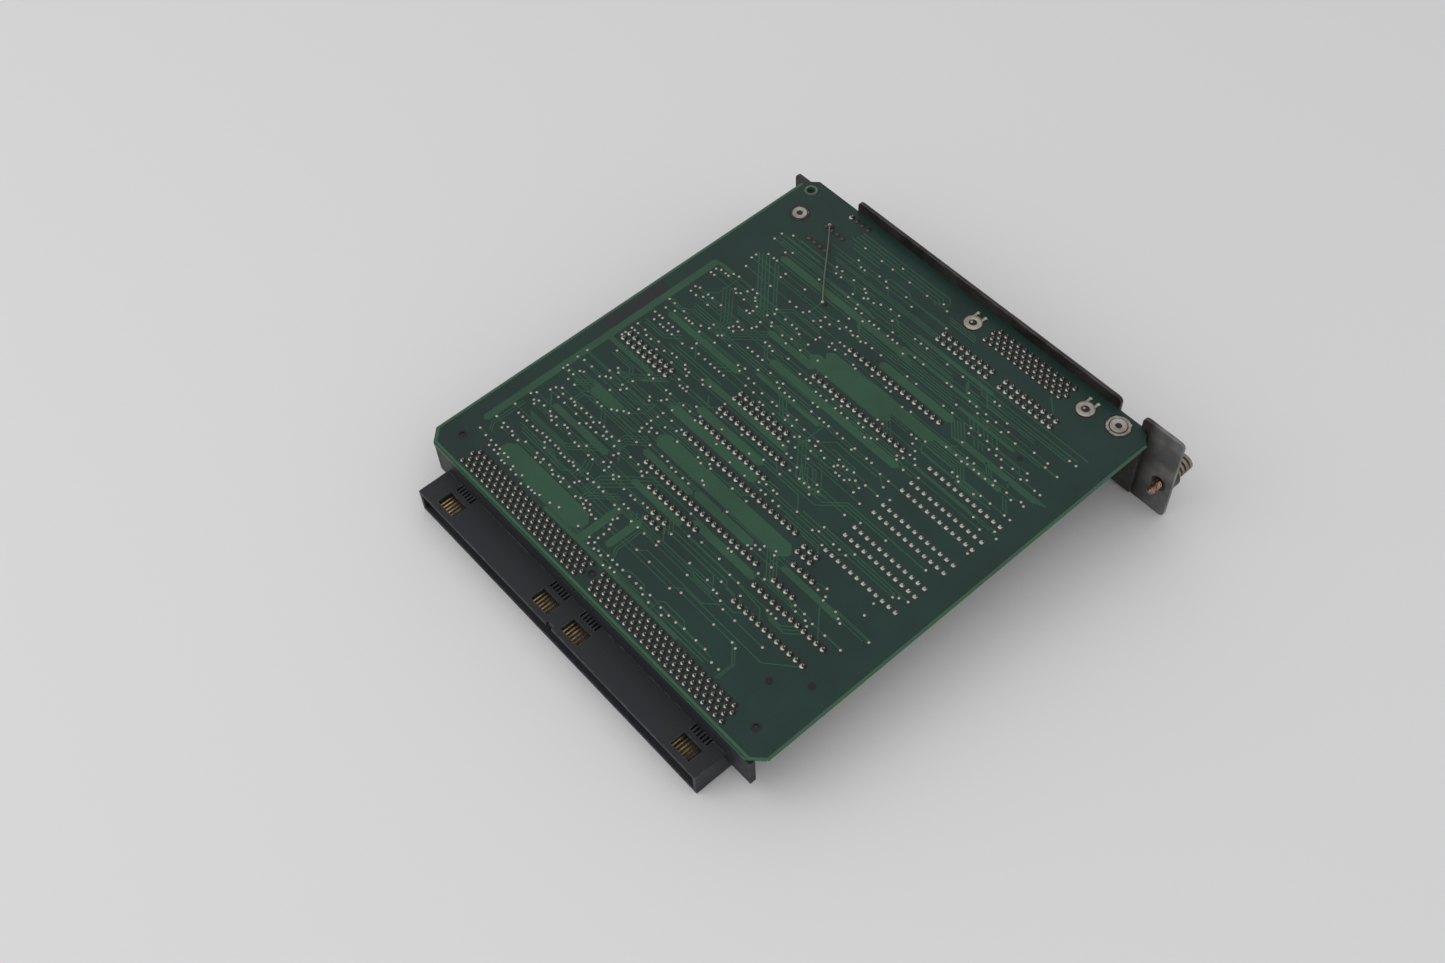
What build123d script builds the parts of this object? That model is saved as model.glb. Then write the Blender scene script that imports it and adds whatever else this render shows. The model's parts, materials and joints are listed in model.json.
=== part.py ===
from build123d import *
import os

os.makedirs("parts", exist_ok=True)

# Driver board of a plug-in rack unit. It lies with its solder side up, as it is looked at:
# +X runs along the backplane connector, +Y points to the front panel, +Z is the solder side.
# The origin is under the middle of the whole unit, at the height of the panel's lower edge.

# Printed board
BOARD_W = 148.3
BOARD_L = 159.1
BOARD_T = 1.6
CORNER_CUT = 4.0
PITCH = 2.54
GRID_LEFT = 53.2  # first pin column from the board's left edge
GRID_REAR = 57.6  # first pin row from the board's rear edge
PLAIN_HOLE_R = 1.4
SPARE_HOLE_X = 4.7
SPARE_HOLE_Y = 4.8

# Front panel, a flat sheet with two ears and a strip that stands above the board
PANEL_T = 1.2
PANEL_DROP = 32.0
STRIP_RISE = 4.2
EAR_LEFT = 8.0
EAR_RIGHT = 9.9
LEFT_EAR_STEP = 4.7
STRIP_START = 22.2  # strip's left end from the board's left edge
NOTCH_W = 8.6
NOTCH_FROM_RIGHT = 15.1
NOTCH_DEPTH = 3.0
PANEL_CORNER_R = 1.8

# Captive screw in the right ear; the left ear has the same hole, empty
SCREW_FROM_EDGE = 4.5
SCREW_Z = 13.5
THREAD_R = 1.5
THREAD_REACH = 4.6
SHANK_R = 1.15  # waist that keeps the screw captive in its ferrule
FERRULE_R = 4.0
FERRULE_L = 4.2
HEAD_R = 3.7
HEAD_L = 9.0
RING_COUNT = 4
RING_GROOVE = 0.9
RING_GROOVE_W = 0.8
HEAD_SLOT_W = 0.9
HEAD_SLOT_DEPTH = 1.4
SCREW_CLEAR = 0.15
EDGE_BREAK = 0.6
FERRULE_NECK = 1.1  # wall of the ferrule's neck where it is pressed into the ear

# Backplane connector, a right-angled moulding under the board's rear edge
SHROUD_REACH = 11.0
SHROUD_H = 9.3
SHROUD_DROP = 9.6  # shroud's upper face below the solder side
SHROUD_WALL = 1.2
SHROUD_DEPTH = 8.4
HOUSING_L = 127.5
HOUSING_FROM_LEFT = 8.9
HOUSING_DEPTH = 10.2  # part of the moulding under the board
TONGUE_T = 2.6
TONGUE_SETBACK = 1.8
TONGUE_SIDE_GAP = 2.6
CONTACT_PITCH = 1.27
CONTACT_W = 0.62
CONTACT_T = 0.25
CONTACT_L = 6.0
LEFT_CONTACT_COUNT = 44
RIGHT_CONTACT_COUNT = 46
HALF_GAP = 5.0
TAIL_ROW_STEP = 1.88
FIRST_TAIL_ROW = 2.45
FIRST_CONTACT = 6.5  # first contact from the moulding's left end
WINDOW_CONTACT_COUNT = 6
WINDOW_L = 5.0
WINDOW_SETBACK = 2.0
COMB_SLOT_W = 0.7
COMB_SLOT_L = 2.4
KEY_W = 2.5
KEY_DEPTH = 1.0
EAR_PLATE_T = 2.0
EAR_PLATE_H = 11.4
EAR_PLATE_LEFT = 4.6
EAR_PLATE_RIGHT = 9.8
EAR_FOOT_T = 4.4
EAR_FOOT_LEFT = 4.0
EAR_FOOT_RIGHT = 6.4
PEG_R = 1.2
PEG_CLEAR = 0.1
PEG_SINK = 0.4
LEFT_PEG_OUT = 1.4
RIGHT_PEG_OUT = 3.2
PEG_Y = 8.2
MIDDLE_PEG_Y = 6.1

# Front connector, a half-pitch receptacle behind a window in the panel
FRONT_X_FROM_RIGHT = 43.8
BODY_END = 2.6
FRONT_BODY_H = 10.4
FRONT_BODY_L = 12.4
FRONT_WINDOW_CLEAR = 0.4
SHELL_W = 40.4
SHELL_H = 7.2
SHELL_SLOPE = 1.6
SHELL_T = 0.5
SHELL_REACH = 5.4
ISLAND_GAP = 0.9
ISLAND_SHORT = 0.8
SLOT_H = 1.8
SLOT_END = 1.4
SLOT_DEPTH = 4.2
FRONT_COLUMN_COUNT = 13
FRONT_TAIL_ROW = 9.85  # first row of tails from the panel
POST_GAP = 1.4
LOCK_FROM_PANEL = 7.4
LOCK_R = 2.9
LOCK_T = 0.5
LOCK_PRONG_W = 0.6
LOCK_PRONG_GAP = 1.3
LOCK_PRONG_L = 2.4
POST_FLATS = 4.6
POST_L = 4.4
POST_BORE_R = 1.15
SHELL_CORNER_R = 1.0

# Brackets, rivets and screws that join the board and the panel
BRACKET_T = 1.3
BRACKET_CLEAR = 0.1
LEFT_BRACKET_X = 3.2
LEFT_BRACKET_W = 13.2
LEFT_BRACKET_L = 19.5
LEFT_BRACKET_H = 20.0
RIGHT_BRACKET_X = 2.6
RIGHT_BRACKET_W = 11.2
RIGHT_BRACKET_L = 10.4
RIGHT_BRACKET_H = 29.0
BRACKET_BEND_R = 1.2
RIVET_BORE_R = 0.9
RIVET_NECK_R = 1.6
RIVET_FLANGE_T = 0.45
RIVET_FOOT_R = 2.6
LEFT_RIVET_X = 9.8
LEFT_RIVET_Y = 14.7
LEFT_RIVET_R = 2.9
RIGHT_RIVET_X = 9.8
RIGHT_RIVET_Y = 5.0
RIGHT_RIVET_R = 3.75
PANEL_SCREW_R = 1.25
PANEL_SCREW_L = 4.0
PANEL_SCREW_HEAD_R = 2.4
PANEL_SCREW_HEAD_L = 1.5
PANEL_SCREW_DROP = 11.0

# Parts on the component side
DIP_BODY_T = 3.4
DIP_STANDOFF = 0.5
DIP_END = 1.0
DIP_INSET = 0.6
LEAD_W = 1.0
LEAD_T = 0.3
MARK_L = 1.0
MARK_W = 1.8
MARK_SINK = 0.8
NARROW = 7.62
WIDE = 15.24
SOCKET_H = 4.3
SOCKET_RAIL = 3.2
NETWORK_T = 2.3
NETWORK_H = 5.2
NETWORK_FIT = 0.15
HEADER_H = 2.5
STRIP_H = 8.5
SHUNT_H = 6.2
SHUNT_GAP = 0.25
CHIP_T = 2.3
OSCILLATOR_W = 20.6
OSCILLATOR_L = 13.0
OSCILLATOR_H = 5.2
OSCILLATOR_R = 2.4
CLOCK_EDGE = 0.7
CAN_R = 3.15
CAN_H = 5.4
CAN_BASE_W = 6.6
CAN_BASE_H = 1.0
BEAD_W = 4.2
BEAD_L = 2.4
BEAD_H = 4.6
LED_HOLDER_W = 10.6
LED_HOLDER_L = 6.4
LED_HOLDER_H = 5.6
LED_R = 1.5
LED_CLEAR = 0.1
LED_PROUD = 0.7
LED_SPACING = 6.4
LED_FROM_LEFT = 26.7
LED_DROP = 4.6

# Solder side
JOINT_W = 1.5
JOINT_H = 1.1
FLUSH_W = 1.3
FLUSH_H = 0.45
TAIL_W = 1.1
TAIL_H = 1.5
WIRE_R = 0.28
WIRE_RISE = 1.5
WIRE_BEND = 0.7
WIRE_FROM_LEFT = 20.7
WIRE_FROM_FRONT = 11.4
WIRE_RUN_X = 22.6
WIRE_RUN_Y = 24.5

# Places worked out from the sizes above
PANEL_W = EAR_LEFT + BOARD_W + EAR_RIGHT
BOARD_LEFT = EAR_LEFT - PANEL_W / 2
BOARD_RIGHT = BOARD_LEFT + BOARD_W
REAR_FACE = -(SHROUD_REACH + BOARD_L + PANEL_T + FERRULE_L + HEAD_L) / 2
BOARD_REAR = REAR_FACE + SHROUD_REACH
BOARD_FRONT = BOARD_REAR + BOARD_L
PANEL_FACE = BOARD_FRONT + PANEL_T
SOLDER_FACE = PANEL_DROP
PART_FACE = SOLDER_FACE - BOARD_T
HOUSING_LEFT = BOARD_LEFT + HOUSING_FROM_LEFT
HOUSING_RIGHT = HOUSING_LEFT + HOUSING_L
HOUSING_MID = (HOUSING_LEFT + HOUSING_RIGHT) / 2
SHROUD_TOP = SOLDER_FACE - SHROUD_DROP
SHROUD_MID = SHROUD_TOP - SHROUD_H / 2
FRONT_X = BOARD_RIGHT - FRONT_X_FROM_RIGHT
LOCK_SPACING = SHELL_W + POST_FLATS + POST_GAP
FRONT_BODY_W = LOCK_SPACING + 2 * BODY_END
FRONT_Z = PART_FACE - FRONT_BODY_H / 2
SCREW_X = PANEL_W / 2 - SCREW_FROM_EDGE
LEFT_BRACKET_MID = BOARD_LEFT + LEFT_BRACKET_X + LEFT_BRACKET_W / 2
RIGHT_BRACKET_MID = BOARD_RIGHT - RIGHT_BRACKET_X - RIGHT_BRACKET_W / 2
PANEL_SCREW_Z = PART_FACE - PANEL_SCREW_DROP
LED_X = BOARD_LEFT + LED_FROM_LEFT
LED_Z = PART_FACE - LED_DROP + LED_HOLDER_H / 4
LEFT_HALF_L = (LEFT_CONTACT_COUNT - 1) * CONTACT_PITCH
RIGHT_HALF_L = (RIGHT_CONTACT_COUNT - 1) * CONTACT_PITCH
LEFT_HALF_X = HOUSING_LEFT + FIRST_CONTACT
RIGHT_HALF_X = LEFT_HALF_X + LEFT_HALF_L + HALF_GAP


def grid(column, row):
    """Place on the board's pin grid: whole columns along X, half pitches along Y."""
    return (BOARD_LEFT + GRID_LEFT + column * PITCH, BOARD_REAR + GRID_REAR + row * PITCH / 2)


def pin_row(count, column, row):
    """Places of a row of pins that runs along X."""
    return [grid(column + i, row) for i in range(count)]


def upright(y):
    """Plane across the board at y: its X is X, its Y is Z, and it faces the backplane."""
    return Plane(origin=(0, y, 0), x_dir=(1, 0, 0), z_dir=(0, -1, 0))


def keep(builder, label):
    """Names a finished piece and writes its file."""
    builder.part.label = label
    export_step(builder.part, f"parts/{label}.step")


# Board: a plain laminate with cut corners and its mounting holes
peg_places = [
    (HOUSING_LEFT - LEFT_PEG_OUT, BOARD_REAR + PEG_Y),
    (HOUSING_RIGHT + RIGHT_PEG_OUT, BOARD_REAR + PEG_Y),
    (LEFT_HALF_X + LEFT_HALF_L + HALF_GAP / 2, BOARD_REAR + MIDDLE_PEG_Y),
]
lock_places = [(FRONT_X + side * LOCK_SPACING / 2, BOARD_FRONT - LOCK_FROM_PANEL) for side in (-1, 1)]
left_rivet = (BOARD_LEFT + LEFT_RIVET_X, BOARD_FRONT - LEFT_RIVET_Y)
right_rivet = (BOARD_RIGHT - RIGHT_RIVET_X, BOARD_FRONT - RIGHT_RIVET_Y)
spare_hole = (BOARD_LEFT + SPARE_HOLE_X, BOARD_FRONT - SPARE_HOLE_Y)

with BuildPart() as board:
    with BuildSketch(Plane.XY.offset(PART_FACE)):
        with Locations(((BOARD_LEFT + BOARD_RIGHT) / 2, (BOARD_REAR + BOARD_FRONT) / 2)):
            outline = Rectangle(BOARD_W, BOARD_L)
        chamfer(outline.vertices(), CORNER_CUT)
        with Locations(*peg_places):
            Circle(PEG_R + PEG_CLEAR, mode=Mode.SUBTRACT)
        with Locations(left_rivet, right_rivet):
            Circle(RIVET_NECK_R + PEG_CLEAR, mode=Mode.SUBTRACT)
        with Locations(spare_hole):
            Circle(PLAIN_HOLE_R, mode=Mode.SUBTRACT)
    extrude(amount=BOARD_T)
keep(board, "board")

# Front panel: one sheet, cut to its outline, with a window for the front connector
strip_left = BOARD_LEFT + STRIP_START
notch_right = BOARD_RIGHT + EAR_RIGHT - NOTCH_FROM_RIGHT
notch_left = notch_right - NOTCH_W
panel_top = SOLDER_FACE + STRIP_RISE
notch_bottom = SOLDER_FACE - NOTCH_DEPTH
left_top = SOLDER_FACE - LEFT_EAR_STEP
bracket_screws = [(LEFT_BRACKET_MID, PANEL_SCREW_Z), (RIGHT_BRACKET_MID, PANEL_SCREW_Z)]
led_places = [(LED_X + side * LED_SPACING / 2, LED_Z) for side in (-1, 1)]
post_places = [(FRONT_X + side * LOCK_SPACING / 2, FRONT_Z) for side in (-1, 1)]
neck_r = THREAD_R + SCREW_CLEAR + FERRULE_NECK

with BuildPart() as front_panel:
    with BuildSketch(upright(PANEL_FACE)):
        with BuildLine():
            Polyline(
                (-PANEL_W / 2, 0),
                (PANEL_W / 2, 0),
                (PANEL_W / 2, panel_top),
                (notch_right, panel_top),
                (notch_right, notch_bottom),
                (notch_left, notch_bottom),
                (notch_left, panel_top),
                (strip_left, panel_top),
                (strip_left, left_top),
                (-PANEL_W / 2, left_top),
                close=True,
            )
        sheet = make_face()
        fillet(sheet.vertices(), PANEL_CORNER_R)
        with Locations((FRONT_X, FRONT_Z)):
            Rectangle(SHELL_W + 2 * FRONT_WINDOW_CLEAR, SHELL_H + 2 * FRONT_WINDOW_CLEAR, mode=Mode.SUBTRACT)
        with Locations((-SCREW_X, SCREW_Z), (SCREW_X, SCREW_Z)):
            Circle(neck_r, mode=Mode.SUBTRACT)
        with Locations(*bracket_screws):
            Circle(PANEL_SCREW_R + PEG_CLEAR, mode=Mode.SUBTRACT)
        with Locations(*led_places):
            Circle(LED_R + LED_CLEAR, mode=Mode.SUBTRACT)
    extrude(amount=PANEL_T)
keep(front_panel, "front_panel")

# Captive screw: a turned ferrule pressed into the right ear and a ringed thumb screw in it
ferrule_face = PANEL_FACE + FERRULE_L
screw_place = (SCREW_X, 0, SCREW_Z)

with BuildPart() as captive_ferrule:
    with BuildSketch(Plane(screw_place)):
        with BuildLine():
            Polyline(
                (THREAD_R + SCREW_CLEAR, BOARD_FRONT),
                (neck_r, BOARD_FRONT),
                (neck_r, PANEL_FACE),
                (FERRULE_R, PANEL_FACE),
                (FERRULE_R, ferrule_face),
                (THREAD_R + SCREW_CLEAR, ferrule_face),
                close=True,
            )
        make_face()
    revolve(axis=Axis(screw_place, (0, 1, 0)))
keep(captive_ferrule, "captive_ferrule")

ring_step = HEAD_L / RING_COUNT
head_face = ferrule_face + HEAD_L
with BuildPart() as captive_screw:
    with BuildSketch(Plane(screw_place)):
        with BuildLine():
            Polyline(
                (0, BOARD_FRONT - THREAD_REACH),
                (THREAD_R - EDGE_BREAK, BOARD_FRONT - THREAD_REACH),
                (THREAD_R, BOARD_FRONT - THREAD_REACH + EDGE_BREAK),
                (THREAD_R, BOARD_FRONT),
                (SHANK_R, BOARD_FRONT),
                (SHANK_R, ferrule_face),
                (HEAD_R, ferrule_face),
                (HEAD_R, head_face),
                (0, head_face),
                close=True,
            )
        make_face()
        for ring in range(1, RING_COUNT):
            with Locations((HEAD_R, ferrule_face + ring * ring_step)):
                Rectangle(2 * RING_GROOVE, RING_GROOVE_W, mode=Mode.SUBTRACT)
    revolve(axis=Axis(screw_place, (0, 1, 0)))
    with BuildSketch(upright(head_face)):
        with Locations((SCREW_X, SCREW_Z)):
            Rectangle(2 * HEAD_R, HEAD_SLOT_W)
    extrude(amount=HEAD_SLOT_DEPTH, mode=Mode.SUBTRACT)
keep(captive_screw, "captive_screw")

# Backplane connector: one black moulding with a shroud, a contact tongue and two end ears
housing_rear = BOARD_REAR + HOUSING_DEPTH
shroud_floor = REAR_FACE + SHROUD_DEPTH
half_places = [(LEFT_HALF_X, LEFT_CONTACT_COUNT), (RIGHT_HALF_X, RIGHT_CONTACT_COUNT)]
window_first = []
for first_x, count in half_places:
    spare = (count - WINDOW_CONTACT_COUNT) * CONTACT_PITCH
    window_first += [first_x + CONTACT_PITCH, first_x + spare - CONTACT_PITCH]
window_mid = (WINDOW_CONTACT_COUNT - 1) * CONTACT_PITCH / 2
window_w = WINDOW_CONTACT_COUNT * CONTACT_PITCH
key_x = LEFT_HALF_X + LEFT_HALF_L + HALF_GAP / 2
tongue_top = SHROUD_MID + TONGUE_T / 2

with BuildPart() as backplane_housing:
    with BuildSketch(Plane((HOUSING_LEFT, 0, 0), x_dir=(0, 1, 0), z_dir=(1, 0, 0))):
        with BuildLine():
            Polyline(
                (REAR_FACE, SHROUD_TOP - SHROUD_H),
                (housing_rear, SHROUD_TOP - SHROUD_H),
                (housing_rear, PART_FACE),
                (BOARD_REAR, PART_FACE),
                (BOARD_REAR, SHROUD_TOP),
                (REAR_FACE, SHROUD_TOP),
                close=True,
            )
        make_face()
    extrude(amount=HOUSING_L)
    # shroud's cavity around the tongue
    with BuildSketch(upright(REAR_FACE)):
        with Locations((HOUSING_MID, SHROUD_MID)):
            Rectangle(HOUSING_L - 2 * SHROUD_WALL, SHROUD_H - 2 * SHROUD_WALL)
    extrude(amount=-SHROUD_DEPTH, mode=Mode.SUBTRACT)
    with BuildSketch(upright(shroud_floor)):
        with Locations((HOUSING_MID, SHROUD_MID)):
            Rectangle(HOUSING_L - 2 * SHROUD_WALL - 2 * TONGUE_SIDE_GAP, TONGUE_T)
    extrude(amount=SHROUD_DEPTH - TONGUE_SETBACK)
    # inspection windows, the comb behind each, and the key slot in the lip
    with BuildSketch(Plane.XY.offset(SHROUD_TOP)):
        for first_x in window_first:
            with Locations((first_x + window_mid, REAR_FACE + WINDOW_SETBACK + WINDOW_L / 2)):
                Rectangle(window_w, WINDOW_L)
        with Locations((key_x, REAR_FACE)):
            Rectangle(KEY_W, 2 * KEY_DEPTH)
    extrude(amount=-SHROUD_WALL, mode=Mode.SUBTRACT)
    with BuildSketch(Plane.XY.offset(SHROUD_TOP)):
        for first_x in window_first:
            with Locations((first_x + window_mid, BOARD_REAR - COMB_SLOT_L / 2)):
                with GridLocations(CONTACT_PITCH, 1, WINDOW_CONTACT_COUNT, 1):
                    Rectangle(COMB_SLOT_W, COMB_SLOT_L)
    extrude(amount=-SHROUD_WALL, mode=Mode.SUBTRACT)
    # end ears: a plate across the board's rear edge and a foot under the board
    for edge, side, plate, foot in (
        (HOUSING_LEFT, -1, EAR_PLATE_LEFT, EAR_FOOT_LEFT),
        (HOUSING_RIGHT, 1, EAR_PLATE_RIGHT, EAR_FOOT_RIGHT),
    ):
        with BuildSketch(Plane.XY.offset(PART_FACE)):
            with Locations((edge + side * foot / 2, (BOARD_REAR + housing_rear) / 2)):
                Rectangle(foot, HOUSING_DEPTH)
        extrude(amount=-EAR_FOOT_T)
        with BuildSketch(Plane.XY.offset(PART_FACE)):
            with Locations((edge + side * plate / 2, BOARD_REAR + EAR_PLATE_T / 2)):
                Rectangle(plate, EAR_PLATE_T)
        extrude(amount=-EAR_PLATE_H)
    # pegs that locate the moulding in the board
    with BuildSketch(Plane.XY.offset(PART_FACE)):
        with Locations(*peg_places):
            Circle(PEG_R)
    extrude(amount=BOARD_T - PEG_SINK)
keep(backplane_housing, "backplane_housing")

# Gold contacts on both faces of the tongue, each crowned like a roof
crown = Face(Wire.make_polygon([(-CONTACT_W / 2, 0), (CONTACT_W / 2, 0), (0, CONTACT_T)]))
with BuildPart() as backplane_contacts:
    for level, turn in ((tongue_top, 0), (tongue_top - TONGUE_T, 180)):
        for first_x, count in half_places:
            mid = first_x + (count - 1) * CONTACT_PITCH / 2
            with BuildSketch(Plane(upright(shroud_floor).location * Location((mid, level), turn))):
                with GridLocations(CONTACT_PITCH, 1, count, 1):
                    add(crown)
            extrude(amount=CONTACT_L)
keep(backplane_contacts, "backplane_contacts")


def staggered_tails(first_x, columns, first_y, step, moved=1):
    """Four rows of contact tails; every second row, counted from moved, is shifted by half a pitch."""
    places = []
    for row in range(4):
        shift = PITCH / 2 if row % 2 == moved else 0
        places += [(first_x + shift + i * PITCH, first_y + row * step) for i in range(columns)]
    return places


def joints_on_board(places, width, height):
    """Pointed four-sided joints that stand on the board's solder side."""
    half = width / 2
    foot = Face(Wire.make_polygon([(-half, -half), (half, -half), (half, half), (-half, half)]))
    sides = []
    for (x1, y1), (x2, y2) in (
        ((-half, -half), (half, -half)),
        ((half, -half), (half, half)),
        ((half, half), (-half, half)),
        ((-half, half), (-half, -half)),
    ):
        sides.append(Face(Wire.make_polygon([(x1, y1, 0), (x2, y2, 0), (0, 0, height)])))
    point = Solid(Shell([foot, *sides]))
    with BuildPart() as joints:
        with Locations(*[(x, y, SOLDER_FACE) for x, y in places]):
            add(point)
    return joints


tail_y = BOARD_REAR + FIRST_TAIL_ROW
backplane_places = staggered_tails(LEFT_HALF_X, LEFT_CONTACT_COUNT // 2, tail_y, TAIL_ROW_STEP)
backplane_places += staggered_tails(RIGHT_HALF_X, RIGHT_CONTACT_COUNT // 2, tail_y, TAIL_ROW_STEP, 0)
backplane_tails = joints_on_board(backplane_places, TAIL_W, TAIL_H)
keep(backplane_tails, "backplane_tails")

# Front connector: moulded body, sheet-metal shell, island, board locks and jack posts
body_rear = BOARD_FRONT - FRONT_BODY_L
with BuildPart() as front_connector_body:
    with BuildSketch(upright(BOARD_FRONT)):
        with Locations((FRONT_X, FRONT_Z)):
            Rectangle(FRONT_BODY_W, FRONT_BODY_H)
    extrude(amount=FRONT_BODY_L)
    with BuildSketch(upright(BOARD_FRONT)):
        with Locations((FRONT_X, FRONT_Z)):
            RectangleRounded(
                SHELL_W - SHELL_SLOPE - 2 * SHELL_T - 2 * ISLAND_GAP,
                SHELL_H - 2 * SHELL_T - 2 * ISLAND_GAP,
                ISLAND_GAP,
            )
    extrude(amount=-(PANEL_T + SHELL_REACH - ISLAND_SHORT))
    with BuildSketch(upright(PANEL_FACE + SHELL_REACH - ISLAND_SHORT)):
        with Locations((FRONT_X, FRONT_Z)):
            Rectangle(SHELL_W - SHELL_SLOPE - 2 * SHELL_T - 2 * ISLAND_GAP - 2 * SLOT_END, SLOT_H)
    extrude(amount=SLOT_DEPTH, mode=Mode.SUBTRACT)
keep(front_connector_body, "front_connector_body")


def shell_corners(inset):
    """Corners of the shell's D-shaped outline, wider at the top, drawn in by a distance."""
    half_w = SHELL_W / 2 - inset
    half_h = SHELL_H / 2 - inset
    return [
        (FRONT_X - half_w, FRONT_Z + half_h),
        (FRONT_X + half_w, FRONT_Z + half_h),
        (FRONT_X + half_w - SHELL_SLOPE, FRONT_Z - half_h),
        (FRONT_X - half_w + SHELL_SLOPE, FRONT_Z - half_h),
    ]


with BuildPart() as front_connector_shell:
    for inset, mode in ((0, Mode.ADD), (SHELL_T, Mode.SUBTRACT)):
        with BuildSketch(upright(BOARD_FRONT)):
            with BuildLine():
                Polyline(*shell_corners(inset), close=True)
            corners = make_face()
            fillet(corners.vertices(), SHELL_CORNER_R - inset)
        extrude(amount=-(PANEL_T + SHELL_REACH), mode=mode)
keep(front_connector_shell, "front_connector_shell")

with BuildPart() as jack_posts:
    with BuildSketch(upright(PANEL_FACE)):
        with Locations(*post_places):
            RegularPolygon(POST_FLATS / 2, 6, major_radius=False)
    extrude(amount=-POST_L)
    with BuildSketch(upright(PANEL_FACE + POST_L)):
        with Locations(*post_places):
            Circle(POST_BORE_R)
    extrude(amount=POST_L / 2, mode=Mode.SUBTRACT)
keep(jack_posts, "jack_posts")

# Board locks: a pressed disc on the solder side with two small prongs
with BuildPart() as board_locks:
    with BuildSketch(Plane.XY.offset(SOLDER_FACE)):
        with Locations(*lock_places):
            Circle(LOCK_R)
            for side in (-1, 1):
                with Locations((side * LOCK_PRONG_GAP, LOCK_R)):
                    Rectangle(LOCK_PRONG_W, 2 * LOCK_PRONG_L)
    extrude(amount=LOCK_T)
keep(board_locks, "board_locks")

front_first_x = FRONT_X - (FRONT_COLUMN_COUNT - 0.5) * PITCH / 2
front_tail_y = BOARD_FRONT - FRONT_TAIL_ROW
front_places = staggered_tails(front_first_x, FRONT_COLUMN_COUNT, front_tail_y, TAIL_ROW_STEP)
front_tails = joints_on_board(front_places, TAIL_W, TAIL_H)
keep(front_tails, "front_tails")

# Brackets: two bent angles that carry the panel, riveted to the board
bracket_sizes = {
    "left_bracket": (LEFT_BRACKET_MID, LEFT_BRACKET_W, LEFT_BRACKET_L, LEFT_BRACKET_H, left_rivet),
    "right_bracket": (RIGHT_BRACKET_MID, RIGHT_BRACKET_W, RIGHT_BRACKET_L, RIGHT_BRACKET_H, right_rivet),
}
for label, (mid, width, length, height, rivet) in bracket_sizes.items():
    with BuildPart() as bracket:
        with BuildSketch(Plane((mid - width / 2, 0, 0), x_dir=(0, 1, 0), z_dir=(1, 0, 0))):
            with BuildLine():
                Polyline(
                    (BOARD_FRONT - length, PART_FACE),
                    (BOARD_FRONT, PART_FACE),
                    (BOARD_FRONT, PART_FACE - height),
                    (BOARD_FRONT - BRACKET_T, PART_FACE - height),
                    (BOARD_FRONT - BRACKET_T, PART_FACE - BRACKET_T),
                    (BOARD_FRONT - length, PART_FACE - BRACKET_T),
                    close=True,
                )
            profile = make_face()
            bend = profile.vertices().sort_by_distance((mid, BOARD_FRONT, PART_FACE))[0]
            fillet(bend, BRACKET_BEND_R)
        extrude(amount=width)
        with BuildSketch(Plane.XY.offset(PART_FACE)):
            with Locations(rivet):
                Circle(RIVET_NECK_R + PEG_CLEAR)
        extrude(amount=-BRACKET_T, mode=Mode.SUBTRACT)
        with BuildSketch(upright(BOARD_FRONT)):
            with Locations((mid, PANEL_SCREW_Z)):
                Circle(PANEL_SCREW_R + PEG_CLEAR)
        extrude(amount=BRACKET_T, mode=Mode.SUBTRACT)
    keep(bracket, label)

# Tubular rivets: a wide rolled flange on the solder side, a small one under the bracket
rivet_foot = PART_FACE - BRACKET_T
with BuildPart() as board_rivets:
    for (x, y), flange_r in ((left_rivet, LEFT_RIVET_R), (right_rivet, RIGHT_RIVET_R)):
        with BuildSketch(Plane((x, y, 0), x_dir=(1, 0, 0), z_dir=(0, -1, 0))):
            with BuildLine():
                Polyline(
                    (RIVET_BORE_R, rivet_foot - RIVET_FLANGE_T),
                    (RIVET_FOOT_R, rivet_foot - RIVET_FLANGE_T),
                    (RIVET_FOOT_R, rivet_foot),
                    (RIVET_NECK_R, rivet_foot),
                    (RIVET_NECK_R, SOLDER_FACE),
                    (flange_r, SOLDER_FACE),
                    (flange_r, SOLDER_FACE + RIVET_FLANGE_T),
                    (RIVET_BORE_R, SOLDER_FACE + RIVET_FLANGE_T),
                    close=True,
                )
            make_face()
        revolve(axis=Axis((x, y, 0), (0, 0, 1)))
keep(board_rivets, "board_rivets")

with BuildPart() as panel_screws:
    with BuildSketch(upright(PANEL_FACE)):
        with Locations(*bracket_screws):
            Circle(PANEL_SCREW_HEAD_R)
    extrude(amount=-PANEL_SCREW_HEAD_L)
    with BuildSketch(upright(PANEL_FACE)):
        with Locations(*bracket_screws):
            Circle(PANEL_SCREW_R)
    extrude(amount=PANEL_SCREW_L)
keep(panel_screws, "panel_screws")


def dip_places(pins, span, column, row):
    """Places of the pins of a package with two rows, a span apart, along X."""
    half = pins // 2
    far_row = row + 2 * span / PITCH
    return pin_row(half, column, row) + pin_row(half, column, far_row)


def dip_middle(pins, span, column, row):
    """Middle of a package with two rows of pins."""
    return grid(column + (pins // 2 - 1) / 2, row + span / PITCH)


def dip_package(pins, span, column, row, body_top):
    """Moulded body of a two-row package; body_top is the height of its side to the board."""
    x, y = dip_middle(pins, span, column, row)
    length = pins // 2 * PITCH - DIP_END
    with BuildPart() as package:
        with BuildSketch(Plane.XY.offset(body_top)):
            with Locations((x, y)):
                Rectangle(length, span - 2 * DIP_INSET)
        extrude(amount=-DIP_BODY_T)
        with BuildSketch(Plane.XY.offset(body_top - DIP_BODY_T)):
            with Locations((x - length / 2, y)):
                Rectangle(2 * MARK_L, MARK_W)
        extrude(amount=MARK_SINK, mode=Mode.SUBTRACT)
    return package


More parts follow.
